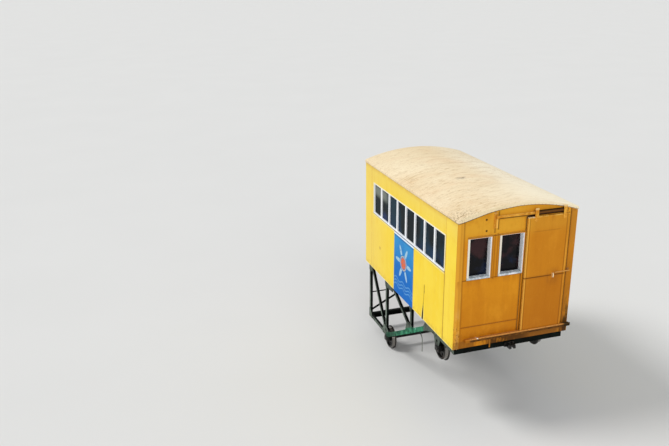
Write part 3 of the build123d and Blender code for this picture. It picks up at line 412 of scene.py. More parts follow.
def leaf_paint():
    """Ochre doors with painted highlights along their upright edges, rubbed along the top and round the
    handle.
    """
    paint = Finish("door_leaf_paint", Specular_IOR_Level=0.08)
    x, y, z = paint.axes
    coat = paint.coat
    grain, cloud = ochre_enamel(paint)
    patch = paint.noise(9.0, (1, 1, 0.4), detail=7, rough=0.68, shift=(6, 1, 5))
    coat((180, 104, 20), step(z, 2.24, 2.16, 0.50))
    coat((196, 124, 32), step(z, 2.16, 2.24, 0.30))
    coat((184, 108, 22), step(z, 1.62, 1.28, 0.25))
    low, high = LEAF_Y
    # Painted highlights along both upright edges
    coat((244, 184, 76), step(y, low + 0.024, low + 0.014), 0.75)
    coat((236, 168, 58), step(y, high - 0.024, high - 0.012), step(z, 3.0, 2.6, 0.7),
         either(step(z, 1.7, 2.3), 0.45))
    inset = either(line(y, low + 0.032, 0.003, 0.008, 0.40), line(y, high - 0.034, 0.003, 0.010, 0.50))
    coat((122, 70, 18), inset)
    top = step(z, LEAF_Z[1] - 0.020, LEAF_Z[1] - 0.008)
    coat((240, 184, 84), top, step(patch, 0.35, 0.55))
    coat((232, 214, 178), top, step(y, low + 0.16, low + 0.10), step(patch, 0.36, 0.50, 0.9))
    coat((170, 96, 26), step(z, LEAF_Z[1] - 0.14, LEAF_Z[1]), step(grain, 0.5, 0.66, 0.4))
    coat((96, 54, 14), line(z, LEAF_SEAM_Z, 0.005, 0.008, 0.80))
    coat((140, 82, 24), line(z, LEAF_SEAM_Z, 0.012, 0.03, 0.25))
    # A long lap mark across the upper half, and wear round the handle
    coat((160, 96, 24), line(z, 3.000, 0.003, 0.012, 0.35), inside(y, 0.30, 0.70, 0.10))
    coat((150, 88, 28), line(y, HANDLE[0], 0.05, 0.12), line(z, HANDLE[1] - 0.03, 0.05, 0.16),
         step(patch, 0.40, 0.55, 0.4))
    # The latch bar is painted lighter, worn paint with a painted highlight, and the pull handle brighter
    # still, a painted highlight
    mirrored = 2 * MID_X - LEAF_OUT
    outside = either(step(x, LEAF_OUT + 0.001, LEAF_OUT + 0.002), step(x, mirrored - 0.001, mirrored - 0.002))
    coat((214, 156, 84), outside, step(patch, 0.30, 0.45, 0.85))
    from_middle = absolute(calc("ADD", x, -MID_X))
    coat((255, 236, 196), step(from_middle, LEAF_OUT - MID_X + 0.010, LEAF_OUT - MID_X + 0.016))
    chips = either(paint.spots(8.0, 0.008, 0.12, (3, 4, 2)), paint.spots(19.0, 0.004, 0.12))
    coat((110, 64, 24), chips, 0.55)
    relief = calc("ADD", grain, both(cloud, 1.5))
    return paint.done(calc("MULTIPLY_ADD", step(cloud, 0.3, 0.7), 0.14, 0.42), relief, 0.0009)


def ledge_paint():
    """The ledge of an end: a lighter upper edge, rubbed paint with a painted highlight, over a grimy face,
    mossy at the left of the car.
    """
    paint = Finish("ledge_paint", Specular_IOR_Level=0.08)
    y, z = paint.axes[1:]
    coat = paint.coat
    patch = paint.noise(9.0, (1, 1, 0.6), detail=7, rough=0.7)
    fine = paint.noise(38.0, detail=6, rough=0.7, shift=(1, 3, 3))
    low, high = LEDGE_Z
    # A ragged lighter band along the top: rubbed paint and a painted highlight
    level = calc("ADD", z, both(calc("SUBTRACT", patch, 0.5), 0.03))
    face = paint.mix(step(patch, 0.40, 0.60), (120, 74, 26), (78, 48, 20))
    paint.base(step(level, high - 0.028, high - 0.014), face, (214, 146, 72))
    coat((66, 42, 18), step(fine, 0.54, 0.64, 0.6))
    coat((178, 122, 54), step(fine, 0.42, 0.34, 0.5))
    coat((186, 122, 44), step(z, low + 0.01, low - 0.02), step(patch, 0.2, 0.5, 0.8))
    coat((190, 116, 26), step(y, LEDGE_START + 0.10, LEDGE_START + 0.06, 0.8))
    coat((44, 36, 20), step(y, 0.93, 1.01), step(patch, 0.20, 0.36, 0.95))
    coat((250, 246, 236), line(y, -0.664, 0.010, 0.008), step(z, high - 0.022, high - 0.012))
    return paint.done(0.75, fine, 0.002)


def rail_paint(name, shaded):
    """Ochre on iron, lighter on the faces that look up, a painted highlight. A shaded one carries a painted
    shadow beyond its first hanger.
    """
    paint = Finish(name, Specular_IOR_Level=0.15)
    y, z = paint.axes[1:]
    coat = paint.coat
    low, high = RAIL_Z
    patch = paint.noise(14.0, detail=7, rough=0.68)
    paint.base(step(patch, 0.38, 0.62), (214, 140, 34), (238, 176, 66))
    coat((120, 68, 22), step(paint.noise(30.0, detail=7, rough=0.7, shift=(5, 1, 2)), 0.56, 0.66, 0.6))
    # Painted highlight on the faces that look up, and paler above the rail
    coat((250, 208, 130), step(paint.facing[2], 0.4, 0.8, 0.6))
    coat((246, 220, 156), step(z, high + 0.020, high + 0.045, 0.6))
    # Painted shadow: dark beyond the first hanger with a lighter line along it, and dark along the underside
    # near the rail's other end
    if shaded:
        beyond = step(y, HANGERS[0] - 0.01, HANGERS[0] + 0.02)
        coat((58, 34, 12), beyond, 0.94)
        coat((150, 88, 28), beyond, line(z, low + 0.024, 0.003, 0.006, 0.55))
        coat((84, 46, 14), step(z, low + 0.014, low + 0.006), step(y, -0.40, -0.36, 0.8))
        coat((198, 124, 24), line(y, RAIL_Y[0], 0.010, 0.008), step(patch, 0.30, 0.5, 0.7))
    return paint.done(calc("MULTIPLY_ADD", patch, 0.5, 0.5), patch, 0.001)


def dress(material, *names):
    for name in names:
        nodes[name].data.materials[0] = material


def both_ends(*names):
    return [f"{end}_{name}" for end in ("uphill", "downhill") for name in names]


enamel = body_paint()
leaf_finish = leaf_paint()
door_gear = rail_paint("door_gear_paint", False)
dress(enamel, "right_waist_panel", "left_waist_panel", "side_header_panels", "corner_panels",
      "end_skirt_boards", "end_tympanums", *both_ends("wall_posts", "waist_panel", "header_boards"))
dress(leaf_finish, *both_ends("door_leaf"))
dress(ledge_paint(), "base_ledges")
dress(door_gear, *both_ends("door_hangers"))
dress(rail_paint("door_rail_paint", True), *both_ends("door_rail"))


# Window frames and glass

def side_frame_paint():
    """Clean white paint on the side windows."""
    paint = Finish("side_frame_white", Specular_IOR_Level=0.3)
    x, y, z = paint.axes
    coat = paint.coat
    patch = paint.noise(6.0, detail=6, rough=0.65)
    paint.base(step(patch, 0.36, 0.64), (255, 255, 255), (244, 247, 252))
    coat((206, 204, 190), step(x, BAND_X[0] + 0.050, BAND_X[0] + 0.030, 0.7))
    coat((184, 176, 152), step(paint.noise(22.0, detail=7, rough=0.7, shift=(4, 4, 1)), 0.64, 0.72, 0.4))
    # Painted shade: the faces set back towards the glass are bluish grey
    coat((176, 184, 194), step(absolute(y), 1.060, 1.045, 0.25))
    # The wall's yellow was brushed over the head and the uphill stile; a painted shadow runs as a dark line
    # under the sill
    coat((255, 240, 168), step(z, BAND_Z[1] - 0.020, BAND_Z[1] - 0.014, 0.75))
    coat((255, 238, 176), step(x, BAND_X[1] - 0.040, BAND_X[1] - 0.028, 0.75))
    coat((112, 112, 112), step(z, BAND_Z[0] + 0.010, BAND_Z[0] + 0.005, 0.75))
    return paint.done(0.4, paint.noise(45.0, (1, 1, 0.3), detail=5), 0.0008)


def end_frame_paint():
    """Worn paint on the end windows: cream stiles, cold white reveals, ochre over the head."""
    paint = Finish("end_frame_white", Specular_IOR_Level=0.3)
    y, z = paint.axes[1:]
    coat = paint.coat
    low, high = END_WINDOW_Z
    patch = paint.noise(12.0, (1, 1, 0.5), detail=7, rough=0.7)
    paint.base(step(patch, 0.38, 0.62), (242, 245, 250), (214, 221, 235))
    front = step(absolute(paint.facing[0]), 0.6, 0.75)
    # The reveals, facing sideways, are pure white: white paint, lifted further as a painted highlight against
    # the shade of the recess
    coat((255, 255, 255), step(absolute(paint.facing[1]), 0.6, 0.75, 0.9))
    stiles = [inside(y, at - 0.01, at + 0.040, 0.002) for at in (WINDOW_1[0], WINDOW_2[0])]
    coat((240, 232, 214), front, either(*stiles))
    coat((164, 178, 180), step(z, low + 0.060, low + 0.030), step(patch, 0.40, 0.56, 0.75))
    painted = [both(front, step(z, high - 0.018, high - 0.012))]
    painted += [both(front, inside(y, at - 0.016, at + 0.01, 0.003)) for at in (WINDOW_1[1], WINDOW_2[1])]
    coat((216, 146, 40), either(*painted))
    outline = [line(y, at, 0.0015, 0.004, 0.6) for at in (*WINDOW_1, *WINDOW_2)]
    coat((140, 96, 44), front, either(*outline))
    coat((120, 100, 76), step(paint.noise(26.0, detail=7, rough=0.72, shift=(4, 4, 1)), 0.60, 0.68, 0.55))
    return paint.done(0.45, paint.noise(45.0, (1, 1, 0.3), detail=5), 0.0012)


def dusted(pane, most):
    """Dust that dulls a pane, and the slight waves of its surface."""
    dust = step(pane.noise(6.0, (1, 1, 0.5), detail=5), 0.35, 0.8, most)
    return pane.done(dust, pane.noise(2.2, detail=2), 0.002)


def side_glass():
    """Dark panes with painted reflections, grey towards the downhill end and blue-green low down, and a
    painted shadow along the top.
    """
    pane = Finish("side_glass_dark", IOR=1.45, Transmission_Weight=0.06, Specular_IOR_Level=0.02)
    x, y, z = pane.axes
    pane.base(step(pane.noise(1.7, (1, 1, 0.6), detail=4), 0.40, 0.62), (14, 24, 28), (24, 52, 66))
    # Painted reflections: blue low down, grey towards the downhill end; then a painted shadow along the top
    pane.coat((30, 58, 112), step(z, 2.62, 2.40), step(pane.noise(1.1, shift=(4, 0, 0)), 0.4, 0.6, 0.7))
    pane.coat((136, 142, 132), step(x, -0.95, -1.25), step(z, 2.66, 2.80, 0.80))
    pane.coat((16, 20, 18), step(z, 2.885, 2.935, 0.8))
    return dusted(pane, 0.14)


def end_glass():
    """Nearly black panes with painted reflections in a little red-brown and blue."""
    pane = Finish("end_glass_dark", IOR=1.45, Transmission_Weight=0.14, Specular_IOR_Level=0.12)
    # Painted reflections in red-brown and blue
    pane.base(step(pane.noise(3.0, detail=5, shift=(0, 2, 0)), 0.42, 0.60), (12, 12, 14), (58, 34, 36))
    pane.coat((22, 36, 64), step(pane.noise(2.2, shift=(0, 5, 1)), 0.50, 0.66, 0.8))
    return dusted(pane, 0.12)


dress(side_frame_paint(), "right_window_frame", "left_window_frame")
dress(end_frame_paint(), *both_ends("window_frames"))
dress(side_glass(), "side_window_glass")
dress(end_glass(), "end_window_glass")


# Chassis, running gear and timber

def truss_paint():
    """Near-black green chassis paint, paler outside, chalky with a painted highlight, and mint along the
    sloping chords.
    """
    paint = Finish("chassis_green", Specular_IOR_Level=0.05)
    x, y, z = paint.axes
    coat = paint.coat
    patch = paint.noise(4.0, detail=7, rough=0.65)
    chalk = paint.noise(11.0, (1, 1, 0.4), detail=7, rough=0.7, shift=(3, 3, 3))
    bare = paint.noise(13.0, detail=8, rough=0.74, shift=(8, 0, 2))
    rust = paint.noise(10.0, detail=8, rough=0.72, shift=(7, 1, 5))
    paint.base(step(patch, 0.38, 0.62), (4, 7, 5), (12, 21, 17))
    # Outward faces: chalky paint, lifted as a painted highlight; higher up, under the body, less of it, a
    # painted shade
    outer = both(step(absolute(y), 1.000, 1.015), step(absolute(paint.facing[1]), 0.6, 0.8))
    coat((126, 138, 126), outer, either(step(z, 0.85, 0.35), 0.55), step(chalk, 0.32, 0.56, 0.90))
    # Distance from the middle line of the sloping chord
    middle = calc("MULTIPLY_ADD", x, CHORD_RISE, CHORD_FOOT[1] - CHORD_RISE * CHORD_FOOT[0])
    off = absolute(calc("SUBTRACT", z, middle))
    chord = both(step(off, 0.085, 0.065), inside(x, -1.16, 0.62, 0.03))
    mint = paint.mix(step(chalk, 0.40, 0.62), (30, 96, 72), (66, 152, 112))
    coat(paint.mix(step(x, -0.35, -0.95, 0.70), mint, (46, 74, 60)), chord, 0.94)
    coat((20, 40, 32), chord, step(bare, 0.52, 0.60, 0.9))
    coat((140, 190, 176), chord, paint.spots(11.0, 0.028, 0.30, (4, 2, 0)), step(x, -0.5, -0.1, 0.8))
    # The bent guard rod is galvanised
    coat((136, 138, 130), inside(x, 0.38, 0.60, 0.01), step(z, 0.66, 0.60), step(off, 0.075, 0.090))
    # Rust, and grease round the running gear
    coat((52, 34, 24), step(rust, 0.60, 0.70, 0.7))
    coat((16, 17, 15), step(z, 0.1, -0.3), step(patch, 0.62, 0.45, 0.6))
    return paint.done(calc("MULTIPLY_ADD", patch, 0.4, 0.40), paint.noise(90.0, detail=4), 0.0012)


def gear_iron():
    """Greased iron."""
    skin = Finish("running_gear_iron", Metallic=0.4)
    patch = skin.noise(12.0, detail=7, rough=0.65)
    skin.base(step(patch, 0.4, 0.65), (20, 20, 19), (46, 44, 40))
    skin.coat((84, 52, 34), step(skin.noise(18.0, detail=8, rough=0.7, shift=(2, 5, 1)), 0.60, 0.70, 0.6))
    return skin.done(step(patch, 0.1, 0.9, 0.8), skin.noise(120.0), 0.0006)


def wheel_iron(name, axle):
    """Dark cast wheels with a bright tread and flange."""
    skin = Finish(name, Metallic=0.7)
    patch = skin.noise(12.0, detail=7, rough=0.65)
    skin.base(step(patch, 0.4, 0.65), (11, 11, 10), (28, 25, 22))
    skin.coat((72, 44, 28), step(skin.noise(9.0, detail=8, rough=0.7, shift=(2, 5, 1)), 0.54, 0.66, 0.45))
    radius = length(*offsets(skin.axes[0], skin.axes[2], axle))
    rim = both(step(radius, 0.212, 0.216), step(absolute(skin.facing[1]), 0.9, 0.6))
    score = skin.noise(90.0, (0.3, 6.0, 0.3), detail=3)
    skin.coat(skin.mix(score, (92, 88, 84), (150, 146, 140)), rim)
    rough = calc("SUBTRACT", step(patch, 0.0, 0.9, 0.75), both(rim, 0.35))
    return skin.done(rough, skin.noise(120.0), 0.0006)


def timber(name, dark, light, along_grain):
    """Boards with grain along one axis."""
    wood = Finish(name, Specular_IOR_Level=0.4)
    grain = wood.noise(30.0, along_grain, detail=6, rough=0.6, twist=0.4)
    wood.base(step(grain, 0.35, 0.65), dark, light)
    wood.coat(dark, step(wood.noise(2.0, detail=3), 0.4, 0.7, 0.5))
    return wood.done(step(grain, 0.0, 1.0, 0.6), grain, 0.001)


chassis = truss_paint()
running_gear = gear_iron()
varnished = ((96, 58, 30), (146, 96, 52))
dress(chassis, "truss_posts", "truss_diagonals", "nose_chords", "slope_chords", "gusset_plates",
      "sill_beams", "cross_beams", "nose_braces", "rear_pedestals")
dress(running_gear, "axle_boxes", "haulage_clevis")
dress(wheel_iron("front_wheel_iron", FRONT_AXLE), "front_wheelset")
dress(wheel_iron("rear_wheel_iron", REAR_AXLE), "rear_wheelset")
dress(timber("seat_wood", *varnished, (0.05, 1, 1)), "right_bench", "left_bench")
dress(timber("carline_wood", *varnished, (1, 0.05, 1)), "roof_carlines")
dress(timber("floor_wood", (66, 50, 38), (104, 84, 64), (0.05, 1, 1)), "floor_deck", "floor_joists")


# Banner

def banner_paint():
    """Blue paint with a generic painted sun and waves, lighter at the top."""
    paint = Finish("banner_blue_paint", Specular_IOR_Level=0.08)
    x, y, z = paint.axes
    coat = paint.coat
    paint.base(step(z, SKIRT_Z + 0.3, SKIRT_Z + 1.24), (0, 106, 194), (50, 147, 207))
    coat((16, 92, 184), step(paint.noise(3.0, detail=5), 0.45, 0.7, 0.35))
    scuff = step(paint.noise(16.0, (1, 1, 0.5), detail=7, rough=0.7), 0.58, 0.70, 0.16)
    coat((116, 168, 212), scuff)
    # The sun: rays that narrow outwards, and a disc in a ring
    aside, above = offsets(x, z, BANNER_SUN)
    radius = length(aside, above)
    ray = calc("COSINE", both(calc("ARCTAN2", above, aside), 6.0))
    tip = calc("MULTIPLY_ADD", radius, 3.4, -0.30)
    rays = both(step(calc("SUBTRACT", ray, tip), 0.0, 0.12), inside(radius, 0.170, 0.400, 0.004))
    wear = step(paint.noise(22.0, detail=7, rough=0.7, shift=(1, 1, 4)), 0.66, 0.56)
    coat((176, 212, 226), rays, wear, 0.85)
    coat((222, 108, 62), step(radius, 0.112, 0.106), wear)
    coat((214, 196, 150), line(radius, 0.136, 0.008, 0.004), wear)
    # Three waves along the foot
    wave = both(calc("SINE", both(x, 20.4)), 0.026)
    for level in (1.250, 1.318, 1.386):
        coat((110, 172, 218), line(calc("SUBTRACT", z, wave), level, 0.008, 0.005, 0.75), wear)
    # Rubbed edges, a white rim under the window sill between a dark line below and a painted shadow above,
    # and a frayed foot
    start, end = BANNER_X
    sill = BAND_Z[0]
    edge = either(step(x, start + 0.012, start + 0.008, 0.8), step(x, end - 0.010, end - 0.006, 0.35))
    coat((150, 190, 216), edge)
    coat((20, 78, 130), line(z, sill - 0.074, 0.008, 0.010, 0.6))
    coat((238, 246, 255), step(z, sill - 0.062, sill - 0.054, 0.95))
    # Painted shadow as a grey line under the window sill
    coat((112, 116, 130), step(z, sill - 0.028, sill - 0.022, 0.9))
    coat((150, 180, 206), step(z, SKIRT_Z + 0.03, SKIRT_Z), step(scuff, 0.0, 0.1, 0.5))
    return paint.done(0.5, paint.noise(80.0), 0.0006)


banner_blue = banner_paint()
dress(banner_blue, "side_banners")


# The canvas of the roof: one sheet over the crown, turned down over all four edges

CANVAS_GAP = 0.0025
CREASE_DEPTH = 0.0024
HEM_Z = 3.281
# Lower edge of the canvas across an end: (y, z)
END_HEM = ((-1.097, 3.258), (-0.889, 3.305), (-0.725, 3.349), (-0.561, 3.393), (-0.396, 3.422),
           (-0.228, 3.440), (-0.058, 3.456), (0.112, 3.458), (0.286, 3.450), (0.464, 3.432),
           (0.642, 3.402), (0.788, 3.371), (0.898, 3.342), (1.097, 3.284))


def canvas_paint():
    """Painted cream canvas with stains, darker along its creases, which run across the car; painted
    highlights lift its far side and the parts turned down over the ends.
    """
    cloth = Finish("roof_canvas_cloth", Specular_IOR_Level=0.1)
    x, y, z = cloth.axes
    coat = cloth.coat
    cloud = cloth.noise(0.9, (1, 0.6, 1), detail=6)
    streak = cloth.noise(26.0, (1, 0.16, 1), detail=7, rough=0.68, twist=0.5)
    fleck = cloth.noise(62.0, (1, 0.34, 1), detail=6, rough=0.72, shift=(4, 2, 0))
    cloth.base(step(cloud, 0.35, 0.68), (236, 213, 174), (245, 228, 194))
    coat((234, 202, 160), step(cloth.noise(2.4, (1, 0.6, 1), shift=(5, 5, 0)), 0.50, 0.70, 0.45))
    # Painted highlight: lighter towards the far side, where the curve turns from the light
    coat((255, 246, 222), step(y, 0.0, 0.70, 0.70))
    coat((186, 154, 104), step(cloth.layer("crease"), 0.12, 0.80, 0.55))
    coat((198, 162, 110), step(streak, 0.54, 0.66, 0.62))
    coat((255, 245, 220), step(streak, 0.44, 0.32, 0.50))
    coat((172, 138, 92), step(fleck, 0.56, 0.68, 0.60))
    coat((255, 246, 220), step(fleck, 0.42, 0.32, 0.30))
    coat((226, 204, 164), step(x, -0.4, -2.2, 0.40))
    coat((255, 243, 214), step(x, 0.2, 1.3), step(y, -0.5, 0.4, 0.55))
    coat((124, 98, 66), either(cloth.spots(8.0, 0.010, 0.07), cloth.spots(20.0, 0.005, 0.12)), 0.5)
    # Soot at the uphill right corner, along the uphill edge and the right eave, and one dark patch
    sooted = cloth.noise(34.0, detail=7, rough=0.75, shift=(7, 0, 0))
    coat((96, 70, 40), step(x, 1.50, 1.86), step(y, -0.62, -1.02), step(sooted, 0.50, 0.58, 0.75))
    coat((124, 96, 58), step(x, 1.74, 1.90), step(y, 0.5, -0.3), step(sooted, 0.57, 0.64, 0.5))
    coat((182, 134, 70), step(y, -0.72, -1.04), step(sooted, 0.53, 0.64, 0.35))
    coat((86, 64, 58), line(x, CANVAS_STAIN[0], 0.02, 0.07), line(y, CANVAS_STAIN[1], 0.03, 0.11),
         step(streak, 0.45, 0.53, 0.9))
    # The part that hangs over the walls: a painted highlight on the ends, darker near its lower edge, and a
    # painted shadow along that edge at the uphill end
    coat((255, 236, 194), step(absolute(cloth.facing[0]), 0.55, 0.85, 0.6))
    coat((214, 170, 98), step(z, 3.300, 3.280, 0.5), step(cloud, 0.2, 0.6))
    coat((70, 46, 20), step(cloth.layer("brim"), 0.25, 0.60, 0.9), step(x, 1.0, 1.5))
    weave = calc("ADD", cloth.noise(260.0, detail=2), both(streak, 3.0))
    return cloth.done(0.88, weave, 0.0009)


def hem_height(y):
    """Lower edge of the canvas across an end."""
    for (y_low, z_low), (y_high, z_high) in zip(END_HEM, END_HEM[1:]):
        if y <= y_high:
            return z_low + (z_high - z_low) * (y - y_low) / (y_high - y_low)
    return END_HEM[-1][1]


def crease_at(x, y):
    """Depth of the canvas's creases from 0 to 1: ridges that run across the car and wander."""
    wander = noise.noise((x * 1.3, y * 1.7, 2.0)) * 0.16 + noise.noise((x * 5.0, y * 4.0, 7.0)) * 0.03
    tilt = x + 0.10 * y + wander
    broad = 1.0 - abs(noise.noise((tilt * 9.0, y * 0.8, 0.0))) * 2.6
    narrow = 1.0 - abs(noise.noise((tilt * 23.0, y * 2.2, 4.0))) * 2.8
    strength = 0.5 + 0.5 * noise.noise((x * 1.1, y * 1.1, 11.0))
    return max(0.0, broad) ** 3 * 0.7 * strength + max(0.0, narrow) ** 4 * 0.5 * (1.2 - strength)


def put(name, data):
    """A new object in the scene."""
    thing = bpy.data.objects.new(name, data)
    bpy.context.scene.collection.objects.link(thing)
    return thing


def put_mesh(name, mesh, material):
    data = bpy.data.meshes.new(name)
    mesh.to_mesh(data)
    mesh.free()
    data.materials.append(material)
    return put(name, data)


def make_canvas():
    """Rows along X, columns along Y. Past the top, a row or column rolls over the edge and hangs."""
    rolls = 5
    drops = 4
    top_rows = 330
    top_columns = 120
    reach = END_ROLL + CANVAS_GAP
    x_flat = (ROOF_X[0] + END_ROLL, ROOF_X[1] - END_ROLL)
    y_flat = ROOF_HALF - EAVE_ROLL
    eave_start = math.asin(y_flat / (ROOF_RADIUS - EAVE_ROLL))
    eave_centre_z = ROOF_CENTRE_Z + (ROOF_RADIUS - EAVE_ROLL) * math.cos(eave_start)

    def stations(low, high, count):
        """(part, side, share of its way) of the rows or columns; on top, the place instead of a side."""
        before = [("drop", -1, 1.0 - index / drops) for index in range(drops)]
        before += [("roll", -1, 1.0 - index / rolls) for index in range(rolls)]
        top = [("top", low + (high - low) * index / count, 0.0) for index in range(count + 1)]
        after = [("roll", 1, (index + 1) / rolls) for index in range(rolls)]
        after += [("drop", 1, (index + 1) / drops) for index in range(drops)]
        return before + top + after

    def place(row, column):
        """A point of the smooth sheet."""
        part_x, at_x, share_x = row
        part_y, at_y, share_y = column
        # Along the car, and how far an end's roll draws the section in
        x, inward = at_x, 0.0
        if part_x != "top":
            angle = math.pi / 2 * (share_x if part_x == "roll" else 1.0)
            x = x_flat[at_x > 0] + at_x * reach * math.sin(angle)
            inward = reach * (1 - math.cos(angle))
        # Round the section
        if part_y == "top":
            radius = ROOF_RADIUS + CANVAS_GAP - inward
            y, z = radius * math.sin(at_y), ROOF_CENTRE_Z + radius * math.cos(at_y)
        elif part_y == "roll":
            bend = EAVE_ROLL + CANVAS_GAP - inward
            angle = eave_start + share_y * (math.pi / 2 - eave_start)
            y, z = at_y * (y_flat + bend * math.sin(angle)), eave_centre_z + bend * math.cos(angle)
        else:
            y = at_y * (y_flat + EAVE_ROLL + CANVAS_GAP - inward)
            z = eave_centre_z + share_y * (HEM_Z - eave_centre_z)
        if part_x == "drop" and part_y != "drop":
            z += share_x * (hem_height(y) - z)
        return Vector((x, y, z))

    mesh = bmesh.new()
    crease = mesh.verts.layers.float.new("crease")
    brim = mesh.verts.layers.float.new("brim")
    rows = stations(*x_flat, top_rows)
    columns = stations(-eave_start, eave_start, top_columns)
    grid = {}
    for i, row in enumerate(rows):
        for j, column in enumerate(columns):
            if row[0] == column[0] == "drop":
                continue
            point = place(row, column)
            depth = crease_at(point.x, point.y)
            if row[0] == column[0] == "top":
                # Shallow near the edges, where the cloth is pulled tight
                rim = min(point.x - x_flat[0], x_flat[1] - point.x, y_flat - abs(point.y))
                ease = min(1.0, max(0.0, rim / 0.06))
                outward = Vector((0, point.y, point.z - ROOF_CENTRE_Z)).normalized()
                point += outward * CREASE_DEPTH * ease * (1.0 - depth)
            elif row[0] == "drop":
                point.x += row[1] * 0.0015 * row[2] * noise.noise((point.y * 9, 0, 1))
            at_hem = any(part == "drop" and share == 1.0 for part, at, share in (row, column))
            grid[i, j] = mesh.verts.new(point)
            grid[i, j][crease] = min(1.0, depth)
            grid[i, j][brim] = float(at_hem)
    for i in range(len(rows) - 1):
        for j in range(len(columns) - 1):
            corners = [grid.get(key) for key in ((i, j), (i + 1, j), (i + 1, j + 1), (i, j + 1))]
            if None not in corners:
                mesh.faces.new(corners)
    bmesh.ops.recalc_face_normals(mesh, faces=mesh.faces)
    if sum(face.normal.z for face in mesh.faces) < 0:
        bmesh.ops.reverse_faces(mesh, faces=mesh.faces)
    for face in mesh.faces:
        face.smooth = True
    sheet = put_mesh("roof_canvas", mesh, roof_cloth)
    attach(sheet, "car")


roof_cloth = canvas_paint()
dress(roof_cloth, "roof_shell")
make_canvas()


# Rivets, bolts and screws: small heads, each (radius, height), on the surfaces that they hold

SCREW = (0.0055, 0.0022)
LEAF_SCREW = (0.0045, 0.0020)
BANNER_SCREW = (0.0060, 0.0020)
TACK = (0.0042, 0.0020)
RAIL_BOLT = (0.008, 0.004)
BOX_BOLT = (0.006, 0.005)
RIVET = (0.0095, 0.006)


def head_profile(radius, height, washer, rings):
    """(distance from the axis, level) from foot to top: a dome, or with one ring a flat bolt head."""
    profile = [(radius, 0.0)]
    if washer:
        profile = [(washer, 0.0), (washer, height * 0.25), (radius, height * 0.25)]
    if rings > 1:
        angles = [math.pi / 2 * index / rings for index in range(1, rings)]
        profile += [(radius * math.cos(angle), height * math.sin(angle)) for angle in angles]
    else:
        profile += [(radius, height * 0.85), (radius * 0.85, height)]
    return profile + [(0.0, height)]


def heads(name, body, material, places, sides, rings):
    """One piece of many heads. Each place is (point, outward axis, radius, height, washer)."""
    mesh = bmesh.new()
    for point, axis, radius, height, washer in places:
        outward = Vector(axis).normalized()
        across = outward.orthogonal().normalized()
        over = outward.cross(across)
        # Each head is turned its own way
        turn = (point[0] * 37.0 + point[2] * 91.0) % 1.0
        angles = [2 * math.pi * (index + turn) / sides for index in range(sides)]
        previous = None
        for reach, level in head_profile(radius, height, washer, rings):
            centre = Vector(point) + outward * level
            if reach == 0.0:
                loop = [mesh.verts.new(centre)]
            else:
                loop = [mesh.verts.new(centre + reach * (math.cos(angle) * across + math.sin(angle) * over))
                        for angle in angles]
            for index in range(sides if previous else 0):
                other = (index + 1) % sides
                upper = loop if len(loop) == 1 else (loop[other], loop[index])
                mesh.faces.new((previous[index], previous[other], *upper))
            previous = loop
    bmesh.ops.recalc_face_normals(mesh, faces=mesh.faces)
    for face in mesh.faces:
        face.smooth = rings > 1
    piece = put_mesh(name, mesh, material)
    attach(piece, body)


def along(start, end, pitch):
    """Evenly spaced points from start to end, both included."""
    count = max(1, round((Vector(end) - Vector(start)).length / pitch))
    return [Vector(start).lerp(Vector(end), index / count) for index in range(count + 1)]


def spread(low, high, pitch):
    """Evenly spaced numbers."""
    return [point.x for point in along((low, 0, 0), (high, 0, 0), pitch)]


def outline_of(corners, pitch):
    """Evenly spaced points round a closed outline."""
    return [point for start, end in zip(corners, corners[1:] + corners[:1])
            for point in along(start, end, pitch)[:-1]]


def frame_of(low, high, bottom, top, pitch):
    """Points round a rectangle."""
    return outline_of(((low, bottom), (high, bottom), (high, top), (low, top)), pitch)


def gusset_outlines():
    """Corners (x, z) of the gusset plates, as in the CAD model."""
    half = 0.033
    nose, front, middle, rear = POSTS_X
    chord_z = CHORD_FOOT[1] + CHORD_RISE * (middle - CHORD_FOOT[0])
    plates = (
        ((nose, POST_FOOT_Z), ((-half, -half), (0.150, -half), (0.150, half), (half, 0.170),
                               (-half, 0.170))),
        ((front, POST_FOOT_Z), ((-0.170, -half), (0.062, -half), (0.200, 0.045), (0.160, 0.125),
                                (half, 0.190), (-0.120, 0.190), (-0.170, half))),
        ((middle, chord_z), ((-0.190, -0.165), (0.150, 0.032), (0.112, 0.105), (half, 0.160),
                             (-half, 0.160), (-0.165, 0.125), (-0.235, -0.085))),
        ((nose, SILL_LOW), ((-half, -0.110), (half, -0.150), (0.150, -0.090), (0.190, 0.080),
                            (-half, 0.080))),
        ((front, SILL_LOW), ((-half, -0.120), (half, -0.120), (0.360, -0.090), (0.380, 0.080),
                             (-0.090, 0.080))),
        ((middle, SILL_LOW), ((-half, -0.090), (half, -0.090), (0.110, 0.080), (-0.110, 0.080))),
        ((rear, SILL_LOW), ((-0.230, -0.175), (0.070, -0.065), (0.240, -0.065), (0.240, 0.080),
                            (-0.170, 0.080), (-0.290, -0.110))),
    )
    return [[(x + dx, z + dz) for dx, dz in corners] for (x, z), corners in plates]


def both_sides(points, radius, height):
    """Heads on the right and left of the car, from (x, y, z) points on its left."""
    return [((x, side * y, z), (0, side, 0), radius, height, 0) for x, y, z in points for side in (-1, 1)]


def on_end(points, radius, height, end="both", washer=0):
    """Heads on the end walls, from points on the uphill one."""
    places = []
    for x, y, z in points:
        if end != "downhill":
            places.append(((x, y, z), (1, 0, 0), radius, height, washer))
        if end != "uphill":
            places.append(((2 * MID_X - x, y, z), (-1, 0, 0), radius, height, washer))
    return places


def gusset_rivets():
    """A row of rivets inside the edge of every gusset, on both sides of the car."""
    points = []
    for outline in gusset_outlines():
        middle = Vector((sum(x for x, z in outline), 0, sum(z for x, z in outline))) / len(outline)
        corners = [Vector((x, 0, z)) for x, z in outline]
        inset = [corner + (middle - corner).normalized() * 0.030 for corner in corners]
        points += [(point.x, GUSSET_Y, point.z) for point in outline_of(inset, 0.062)]
    return both_sides(points, *RIVET)


